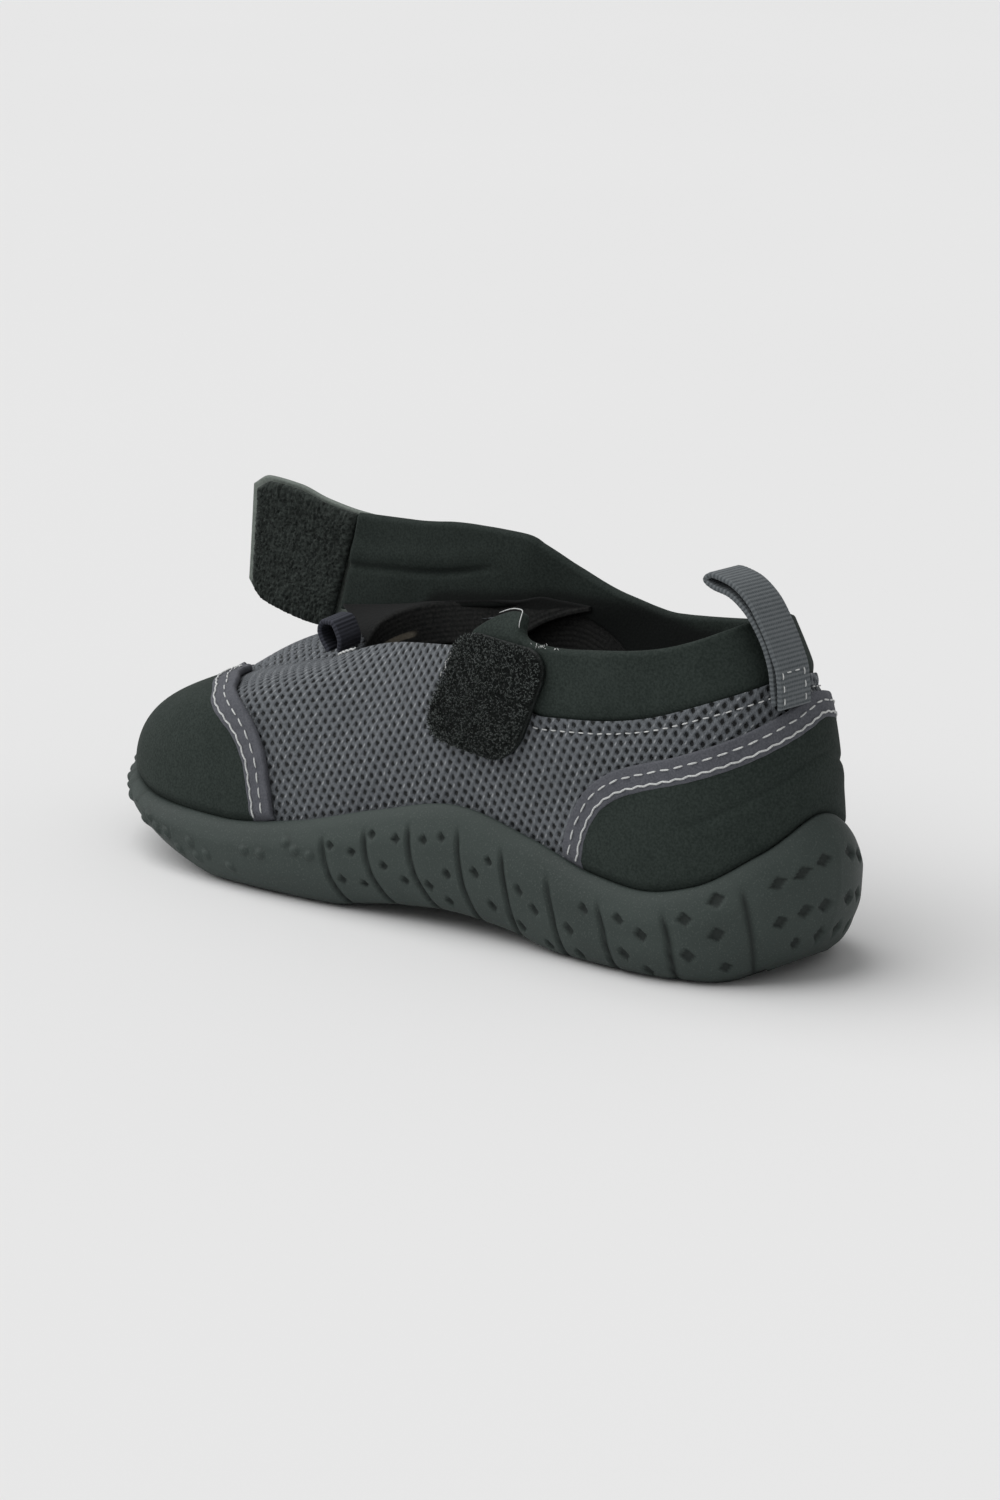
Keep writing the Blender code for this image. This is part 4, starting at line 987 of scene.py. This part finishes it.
collarShape = {
    "rise": ((4.0, 0), (4.2, 5.0), (4.3, 7.0), (4.42, 8.1), (4.51, 7.9), (4.58, 6.4), (4.64, 4.0), (4.73, 1.8),
             (4.88, 0.6), (5.2, 0), (11.0, 0), (11.5, 3.0), (12.0, 8.8), (12.25, 12.4), (12.5, 15.6)),
    # section numbers of the ends of the lateral corner and of the ring, columns in each, columns of the strap
    "corner": (4.14, 5.04), "ring": (5.16, 12.5), "cornerColumns": 24, "ringColumns": 48, "strapColumns": 10,
    "finer": 7, "wall": 2.6, "inset": 0.3, "edge": 1.0,
    "curl": 3.4, "swell": 0.3, "wave": 0.12,         # mm: lateral corner's curl, outer face's swell, slow waves
    # x and z under which the inner face of the medial collar and strap is painted dark, as painted shade
    "paintedShade": ((50, 60), (70, 62.5), (85, 62.5), (92, 61.8), (104, 59.7), (112, 58.8), (118, 57.9), (121, 57.1),
             (124, 54.8), (127.5, 51.5), (150, 46)),
    "tuck": 1.6,                                     # mm that it goes down behind the mesh's edge
    # foot x, foot z, top x, top z
    "strap": ((104, 56.6, 103, 73.8), (114, 55.0, 113, 73.7), (128, 52.5, 126, 72.4), (139, 50.8, 136, 72.0),
              (148.5, 49.6, 143.2, 71.8)),
    "pad": ((152.4, 44.6, 144.0, 71.2), (159, 45.2, 153, 72.5), (167, 46.8, 161, 74.6),
            (172.5, 48.8, 168.5, 75.3), (174.6, 52.0, 172.7, 73.4)),
    "tab": ((140, 56.0, 136, 71.0), (152, 44.2, 145, 71.6), (160, 44.6, 154, 73.1), (168, 46.2, 162, 75.3),
            (174.2, 48.4, 170.8, 76.1), (177.2, 52.0, 175.4, 73.8)),
    "padThick": 1.5, "fuzz": 0.9, "padEdge": 2.0, "tabThick": 1.3, "tabEdge": 0.6, "tabGap": -0.3,
    "face": ((94, -17.0), (104, -17.0), (114, -16.7), (128, -16.2), (144, -15.4), (160, -14.2), (178, -13.0)),
    "fold": ((104, 65.4), (112, 63.4), (122, 61.6), (136, 60.5), (150, 59.6)),   # x and z of the strap's crease
}


def upright(rows, along, up, shift=0.0):
    # upright sheet along the strap from (foot x, foot z, top x, top z) rows
    line = evenPath(rows, along)
    share = np.asarray(up)[None, :]
    x = line[:, :1] + (line[:, 2:3] - line[:, :1]) * share
    z = line[:, 1:2] + (line[:, 3:4] - line[:, 1:2]) * share
    return np.stack([x, smoothTable(collarShape["face"], x) + shift, z], -1)


def finer(points, times):
    # more columns between those given, on Catmull-Rom curves
    n = len(points)
    s = np.linspace(0, n - 1, (n - 1) * times + 1)
    i = np.clip(np.floor(s).astype(int), 0, n - 2)
    t = (s - i).reshape(-1, *([1] * (points.ndim - 1)))
    a, b, c, d = points[np.maximum(i - 1, 0)], points[i], points[i + 1], points[np.minimum(i + 2, n - 1)]
    return 0.5 * (2 * b + (c - a) * t + (2 * a - 5 * b + 4 * c - d) * t ** 2 + (3 * b - a - 3 * c + d) * t ** 3)


def buildCollar():
    # neoprene collar from the lateral corner round the heel to the medial flap, running on as the strap
    share = edgedSteps(30, 16, collarShape["edge"])
    turn = np.concatenate([np.linspace(*collarShape["corner"], collarShape["cornerColumns"]),
                           np.linspace(*collarShape["ring"], collarShape["ringColumns"])])[:, None]
    seam, top = seamHeight(turn), sectionAt(turn)[..., 4]
    tuck = collarShape["tuck"] * (1 - smoothStep(11.6, 12.4, turn))
    low = seam + 0.4 - tuck - 0.4 * (tuck > 0)
    rise = smoothTable(collarShape["rise"], turn)
    height = low + share[None, :] * (top - low + rise)
    ring = lastAt(turn, climbAt(turn, np.minimum(height, top)), 0.0 * height)
    over = np.maximum(height - top, 0)
    ring[..., 2] += over
    corner = smoothStep(5.0, 4.5, turn) * (over / 8.6) ** 2
    ring[..., :2] -= collarShape["curl"] * corner[..., None]     # the lateral corner curls in and back
    strap = upright(collarShape["strap"], collarShape["strapColumns"], share)
    points = finer(np.concatenate([ring, strap]), collarShape["finer"])
    above = finer(np.concatenate([(height - seam)[..., None], np.full((*strap.shape[:2], 1), 12.0)]),
                  collarShape["finer"])[..., 0]
    onStrap = finer(np.concatenate([np.zeros((len(ring), 1)), np.ones((len(strap), 1))]), collarShape["finer"])
    normals = gridNormals(points)
    high = -collarShape["inset"] * (1 - onStrap) - 1.1 * (1 - smoothStep(-1.6, 2.4, above)) * (1 - onStrap)
    high = high + collarShape["swell"] * np.sin(np.pi * share[None, :]) * (1 - onStrap)
    wave = collarShape["wave"] * np.sin(points[..., 0] * 0.23 + points[..., 2] * 0.3)
    low = -collarShape["wall"] - collarShape["inset"] * (1 - onStrap)
    fromFold = points[..., 2] - smoothTable(collarShape["fold"], points[..., 0])
    fade = smoothStep(100, 116, points[..., 0]) * smoothStep(0.2, 0.8, onStrap)
    trough = 0.9 * np.exp(-(fromFold / 0.7) ** 2) - 0.55 * np.exp(-((fromFold - 3.0) / 2.4) ** 2)
    low = low + fade * trough + 0.8 * wave
    made, faces = roundedSheet(points, normals, low, high + wave, collarShape["edge"])
    # painted shade on the inner face of the medial collar and strap: a fifth everywhere, full below the line
    above = points[..., 2] - smoothTable(collarShape["paintedShade"], points[..., 0])
    paintedShade = (0.2 + 0.8 * (1 - smoothStep(-1.0, 2.0, above))) * (points[..., 1] < 0)
    addPiece("collarStrap", made, faces, looks["neoprene"], "neoprene", ("collar",),
             toneMark=np.concatenate([np.zeros(paintedShade.size), paintedShade.ravel()]))
    return points, normals, high


def buildStrapEnd():
    # loop pile on the strap's inner face: a rough fuzzy face; and the smooth tab behind it
    edge = collarShape["padEdge"]
    grid = upright(collarShape["pad"], edgedSteps(110, 28, edge), edgedSteps(100, 27, edge))
    normals = -gridNormals(grid)
    fuzz = chance.random(grid.shape[:2])
    fuzz = 0.5 * fuzz + 0.125 * sum(np.roll(fuzz, s, k) for k in (0, 1) for s in (-1, 1))
    made, faces = roundedSheet(grid, normals, 0.0, collarShape["padThick"] + collarShape["fuzz"] * fuzz, edge)
    addPiece("loopPad", made, faces[:, ::-1], looks["pile"], "hook", ("loop_pad",))
    edge = collarShape["tabEdge"]
    grid = upright(collarShape["tab"], edgedSteps(60, 38, edge), edgedSteps(40, 27, edge), collarShape["tabGap"])
    made, faces = roundedSheet(grid, gridNormals(grid), 0.0, collarShape["tabThick"], edge)
    addPiece("strapTab", made, faces, looks["backing"], "backing", ("strap_tab",))


collarPoints, collarNormals, collarHigh = buildCollar()
buildStrapEnd()
buildGusset()


# Hook pad.

hookShape = {
    # x and z of the corners: foot front, foot back, top front, top back
    "corners": ((88.0, 39.8), (64.0, 36.8), (81.6, 62.2), (54.8, 61.6)),
    "round": 0.26, "thick": 0.7, "lift": 0.5, "sunk": 0.4, "edge": 0.5, "known": 13,
    "hooks": (60, 52), "hook": {"length": 1.3, "radius": 0.11, "bow": 0.22},
    "hookLift": 0.35, "hookLean": (0.75, 0.65),
    "pale": 2400, "paleHook": {"length": 0.6, "radius": 0.075, "bow": 0.15}, "paleLift": 0.75, "paleLean": 0.35,
}


def onSide(x, z):
    # section number, climb and lift of points on the lateral wall, given x and z: above the last's top edge
    # the wall goes straight up
    turn = np.linspace(3, 7, 161)
    climb = climbAt(turn[None, :], z[:, None])
    found = lastAt(turn[None, :], climb)[..., 0]
    i = np.clip((found > x[:, None]).sum(1) - 1, 0, 159)
    k = np.arange(len(x))
    t = np.clip((found[k, i] - x) / (found[k, i] - found[k, i + 1]), 0, 1)
    turn = turn[i] + t * (turn[1] - turn[0])
    lift = np.maximum(z - sectionAt(turn)[:, 4], 0)
    return np.stack([turn, climb[k, i] * (1 - t) + climb[k, i + 1] * t, lift], -1)


def hookPatch(across, up):
    # points and normals on a four-sided patch with round corners, from a square grid of known places
    n = hookShape["known"]
    last = n - 1
    a, s = np.meshgrid(np.linspace(0, 1, n), np.linspace(0, 1, n), indexing="ij")
    footFront, footBack, topFront, topBack = (np.array(c) for c in hookShape["corners"])
    foot = footFront + (footBack - footFront) * a[..., None]
    top = topFront + (topBack - topFront) * a[..., None]
    spot = foot + (top - foot) * s[..., None]
    known = onSide(spot[..., 0].ravel(), spot[..., 1].ravel()).reshape(n, n, 3)
    end = np.minimum(across, 1 - across) / hookShape["round"]
    cut = hookShape["round"] * (1 - np.sqrt(1 - (1 - np.minimum(end, 1)) ** 2))
    up = cut + (1 - 2 * cut) * up
    i, j = (np.minimum((x * last).astype(int), last - 1) for x in (across, up))
    p, q = (across * last - i)[..., None], (up * last - j)[..., None]
    spot = (known[i, j] * (1 - p) * (1 - q) + known[i + 1, j] * p * (1 - q)
            + known[i, j + 1] * (1 - p) * q + known[i + 1, j + 1] * p * q)
    points, normals = lastFrame(spot[..., 0], spot[..., 1])
    points[..., 2] += spot[..., 2]
    return points, normals


def buildHookPad():
    # base sheet on the patch, hooks on a shaken grid leaning any way out of it, and pale bristles lying on them
    edge, face = hookShape["edge"], hookShape["lift"] + hookShape["thick"]
    across, up = np.meshgrid(edgedSteps(50, 26, edge), edgedSteps(40, 16, edge), indexing="ij")
    base = roundedSheet(*hookPatch(across, up), hookShape["lift"] - hookShape["sunk"], face, edge)
    n, m = hookShape["hooks"]
    a, s = np.meshgrid((np.arange(n) + 0.5) / n, (np.arange(m) + 0.5) / m, indexing="ij")
    a = np.clip(a + chance.uniform(-0.3, 0.3, a.shape) / n, 0.004, 0.996).ravel()
    s = np.clip(s + chance.uniform(-0.3, 0.3, s.shape) / m, 0.006, 0.994).ravel()
    points, normals = hookPatch(a, s)
    sway = unit(np.cross(normals, chance.normal(size=normals.shape)))
    out, aside = hookShape["hookLean"]
    lean = threads(points + normals * (face + hookShape["hookLift"]), normals * out + sway * aside, sway,
                   **hookShape["hook"], sides=4, rings=5)
    addPiece("hookPad", *joined(base, lean), looks["hook"], "hook", ("hook_pad",))
    a, s = (chance.uniform(0.005, 0.995, hookShape["pale"]) for _ in range(2))
    points, normals = hookPatch(a, s)
    sway = unit(np.cross(normals, chance.normal(size=normals.shape)))
    way = sway + hookShape["paleLean"] * normals
    made, faces = threads(points + normals * (face + hookShape["paleLift"]), way, normals,
                          **hookShape["paleHook"], sides=4, rings=5)
    addPiece("hookBristles", made, faces, looks["bristle"], "hook")


buildHookPad()


# Webbing loops.

loopShape = {
    # x and z along each strip, seen from the side
    "heel": ((7.2, 55.6), (7.4, 59.4), (7.9, 63.0), (9.4, 66.6), (12.1, 71.5), (15.6, 76.1), (20.6, 79.2),
             (25.0, 80.0), (26.6, 78.9), (24.6, 77.7), (20.8, 76.9), (16.6, 74.4), (13.4, 70.8), (10.9, 66.5),
             (9.6, 62.5), (9.2, 59.4), (8.7, 56.2)),
    "throat": ((128.6, 49.4), (129.5, 51.6), (131.1, 53.3), (133.3, 53.2), (134.6, 51.2), (133.8, 49.2)),
    "throatFeet": (128.9, 131.8), "throatSeat": 1.8, "throatSkew": -0.25,
    "heelY": 4.2, "throatY": 4.4, "heelWidth": 9.6, "throatWidth": 8.5,
    "thick": 1.1, "edge": 0.4, "rib": 0.9, "ribHigh": 0.03,
}


def webbing(name, rows, count, width, slot, node, y, skew=0.0):
    # folded strip along the rows, seen from the side, with low cross ribs; skew is its turn in plan
    line = evenPath(rows, edgedSteps(count, 60, 0.5))
    across = edgedSteps(14, width, loopShape["edge"])
    off = (across - 0.5)[None, :] * width
    x, z = line[:, :1] + skew * off, line[:, 1:] + 0 * off
    points = np.stack([x, y + off + 0 * x, z], -1)
    normals = gridNormals(points)
    run = runLengths(points, 0)
    half = 0.5 * loopShape["thick"] + loopShape["ribHigh"] * np.sin(2 * np.pi * run / loopShape["rib"])
    made, faces = roundedSheet(points, normals, -half, half, loopShape["edge"])
    uv = np.stack([run, np.broadcast_to(across[None, :] * width, run.shape)], -1).reshape(-1, 2)
    addPiece(name, made, faces, looks[slot], slot, (node,), np.tile(uv, (2, 1)))
    return points, normals


def buildLoops():
    # the heel's strip, and the throat's strip with both feet on the crown of the last
    seat = webbing("heelLoop", loopShape["heel"], 170, loopShape["heelWidth"], "webbing", "heel_loop",
                   loopShape["heelY"])
    crown = lastAt(np.zeros(60), np.linspace(1, 0.5, 60))
    front, back = ((x, np.interp(x, crown[:, 0], crown[:, 2]) + loopShape["throatSeat"])
                   for x in loopShape["throatFeet"])
    webbing("throatLoop", (front, *loopShape["throat"], back), 90, loopShape["throatWidth"], "navy", "throat_loop",
            loopShape["throatY"], loopShape["throatSkew"])
    return seat


heelStrip, heelNormals = buildLoops()


# Stitching.

stitchShape = {
    "row": {"pitch": 3.2, "length": 2.5, "radius": 0.19, "bow": 0.14},
    "rope": {"pitch": 1.5, "length": 2.3, "radius": 0.21, "bow": 0.14, "lean": 0.2, "sway": True},
    "seam": {"pitch": 2.3, "length": 1.5, "radius": 0.15, "bow": 0.12},
    "tuft": {"length": 0.55, "radius": 0.07, "bow": 0.1},
    "rowAt": (0.13, 1.68), "ropeAt": (-0.28, 1.66),  # share of the tape's width, mm out from the last
    "seamTurns": (4.74, 11.3), "seamBelow": 2.6, "throatTurns": (0.95, 1.95),
    "tuftX": (-62.0, -54.0), "tufts": 16,            # minus x along the collar's rim
    "edgeThick": 0.26, "curlThick": 0.11, "looseThick": 0.13,
    "box": ((0.4, 1.6), (7.2, 1.6), (7.2, 8.2), (0.4, 8.2)),   # along the heel strip, across it
}


def stitchLine(line, normals, pitch, length, radius, bow, lean=0.0, sway=False):
    # threads every pitch along a line, turned by lean radians about the normal, swaying from side to side
    at = evenAlong(line, pitch)
    centres, up = pick(line, at), unit(pick(normals, at))
    way = unit(pick(np.gradient(line, axis=0), at))
    side = np.cross(up, way)
    angle = lean + chance.normal(0, 0.05, len(at))
    if sway:
        angle = lean * np.where(np.arange(len(at)) % 2, 1, -1)
    turned = way * np.cos(angle)[:, None] + side * np.sin(angle)[:, None]
    return threads(centres, turned, up, length, radius, bow)


def onTape(rows, width, share, out):
    # line on a tape beside its middle, where it stands above the sole's rim
    line = tapeLines(rows, (share * width,), 500)[:, 0]
    high = lastCentre(line[:, 0], line[:, 1])[:, 2] > rimHeight(line[:, 0]) + 1.0
    points, normals = lastFrame(line[high, 0], line[high, 1])
    return points + normals * out, normals


def laidThread(line, radius):
    # one long thread: a tube of six sides along a line of points, thin at both ends
    way = unit(np.gradient(line, axis=0))
    side = unit(np.cross(way, np.array([0.3, 0.2, 1.0])))
    up = np.cross(side, way)
    s = np.linspace(-1, 1, len(line))
    thick = radius * np.sqrt(np.maximum(1 - s ** 8, 0))[:, None, None]
    turn = np.linspace(0, 2 * np.pi, 6, endpoint=False)[None, :, None]
    points = line[:, None] + thick * (side[:, None] * np.cos(turn) + up[:, None] * np.sin(turn))
    return points.transpose(1, 0, 2).reshape(-1, 3), layFaces(6, len(line), True)


def tapeStitches(name, rows, width):
    # a dashed row along the tape's middle and a rope of leaning threads along its lower edge
    dashed = stitchLine(*onTape(rows, width, *stitchShape["rowAt"]), **stitchShape["row"])
    rope = stitchLine(*onTape(rows, width, *stitchShape["ropeAt"]), **stitchShape["rope"])
    addPiece(name, *joined(dashed, rope), looks["thread"], "webbing")


def seamStitches():
    # the collar's seam, the throat's edge thread, and the loose threads at the collar's corner and the hook pad
    turn = np.linspace(*stitchShape["seamTurns"], 500)
    points, normals = lastFrame(turn, climbAt(turn, seamHeight(turn) - stitchShape["seamBelow"]))
    seam = stitchLine(points - normals * 0.2, normals, **stitchShape["seam"])
    throat = np.linspace(*stitchShape["throatTurns"], 40)
    edge = lastAt(throat, 0.995 + 0 * throat, 0.3 + 0.12 * np.sin(throat * 40))
    count = (collarShape["cornerColumns"] + 4) * collarShape["finer"]
    rim = collarPoints[:count, -1] + collarNormals[:count, -1] * collarHigh[:count, -1:]
    tip = rim[(rim[:, 0] < 73.5) & (rim[:, 0] > 62.5)]
    curl = tip[tip[:, 2] > 64.5] + np.array([0, 0.05, 0.05])
    at = chance.uniform(*stitchShape["tuftX"], stitchShape["tufts"])
    spots = pick(rim, np.interp(at, -rim[:, 0], np.arange(len(rim))))
    way = chance.normal(size=spots.shape)
    tufts = threads(spots + chance.normal(0, 0.3, spots.shape), way, np.cross(way, [0.1, 0.3, 1.0]),
                    **stitchShape["tuft"])
    height = np.linspace(0, 1, 30)[:, None]
    front, _ = hookPatch(0.004 + 0 * height, 0.55 + 0.43 * height)
    waves = 0.3 * np.sin(14 * height) * np.array([1, 0, 0.3])
    loose = front[:, 0] + np.array([0.3, 1.6, 0.2]) + waves
    laid = [laidThread(line, stitchShape[thick])
            for line, thick in ((edge, "edgeThick"), (curl, "curlThick"), (loose, "looseThick"))]
    addPiece("seamStitches", *joined(seam, *laid[:2], tufts, laid[2]), looks["thread"], "webbing")


def loopStitches():
    # three sides of a box on the foot of the heel strip
    run = runLengths(heelStrip, 0)[:, 0]
    line = evenPath(stitchShape["box"], 120)
    i = np.interp(line[:, 0], run, np.arange(len(run)))
    centre = heelStrip.shape[1] // 2
    middle, up = pick(heelStrip[:, centre], i), pick(heelNormals[:, centre], i)
    middle[:, 1] += line[:, 1] - 0.5 * loopShape["heelWidth"]
    up = up * -np.sign(up[:, :1])
    made, faces = stitchLine(middle + up * 0.6, up, **stitchShape["seam"])
    addPiece("loopStitches", made, faces, looks["thread"], "webbing")


tapeStitches("toeStitches", tapeShape["toe"], tapeShape["toeWidth"])
tapeStitches("counterStitches", tapeShape["counter"], tapeShape["counterWidth"])
seamStitches()
loopStitches()


# Floor, light and camera.

stageLook = {"half": 6, "tones": (0.79, 0.81), "world": 0.42, "sun": 2.2, "sunAngle": 1.3, "sunTurn": (-19, 28, 0)}
photoView = {
    "target": (93.55, -4.77, 29.42), "away": (-0.6526, 0.7122, 0.2588),   # mm in the shoe; a metre from there
    "focal": 4754.6, "imageHeight": 1500, "sensor": 36,                   # focal length in pixels, sensor in mm
}


def buildStage():
    # pale paper floor, even white surroundings and one wide soft light
    made, tree, shader = startMaterial("paperFloor", 0.9)
    soft = put(tree, "TexNoise", {"Vector": place(tree), "Scale": 3.0, "Detail": 2.0}).outputs[0]
    dark, light = ((tone,) * 3 for tone in stageLook["tones"])
    tree.links.new(blendTone(tree, soft, dark, light), shader.inputs["Base Color"])
    mesh = bpy.data.meshes.new("paperFloor")
    h = stageLook["half"]
    mesh.from_pydata([(-h, -h, 0), (h, -h, 0), (h, h, 0), (-h, h, 0)], [], [(0, 1, 2, 3)])
    mesh.materials.append(made)
    floor = bpy.data.objects.new("paperFloor", mesh)
    bpy.context.scene.collection.objects.link(floor)
    world = bpy.data.worlds.new("studio")
    world.use_nodes = True
    world.node_tree.nodes["Background"].inputs[0].default_value = (1, 1, 1, 1)
    world.node_tree.nodes["Background"].inputs[1].default_value = stageLook["world"]
    bpy.context.scene.world = world
    sun = bpy.data.lights.new("softTop", "SUN")
    sun.energy = stageLook["sun"]
    sun.angle = stageLook["sunAngle"]
    lamp = bpy.data.objects.new("softTop", sun)
    lamp.rotation_euler = np.radians(stageLook["sunTurn"])
    bpy.context.scene.collection.objects.link(lamp)
    print("stage ready")


def buildCamera():
    # the photo's view: a metre from a point inside the shoe, a long lens
    eye = bpy.data.cameras.new("photoView")
    eye.sensor_fit = "VERTICAL"
    eye.sensor_height = photoView["sensor"]
    eye.lens = photoView["focal"] * photoView["sensor"] / photoView["imageHeight"]
    made = bpy.data.objects.new("photoView", eye)
    target = (np.array(photoView["target"]) + shoeShift) * 0.001
    away = unit(np.array(photoView["away"]))
    right = unit(np.cross([0, 0, 1.0], away))
    turned = np.eye(4)
    turned[:3] = np.stack([right, np.cross(away, right), away, target + away], -1)
    made.matrix_world = Matrix(turned.tolist())
    bpy.context.scene.collection.objects.link(made)
    bpy.context.scene.camera = made
    print("camera ready")


buildStage()
buildCamera()
bpy.context.scene.view_settings.view_transform = "Standard"
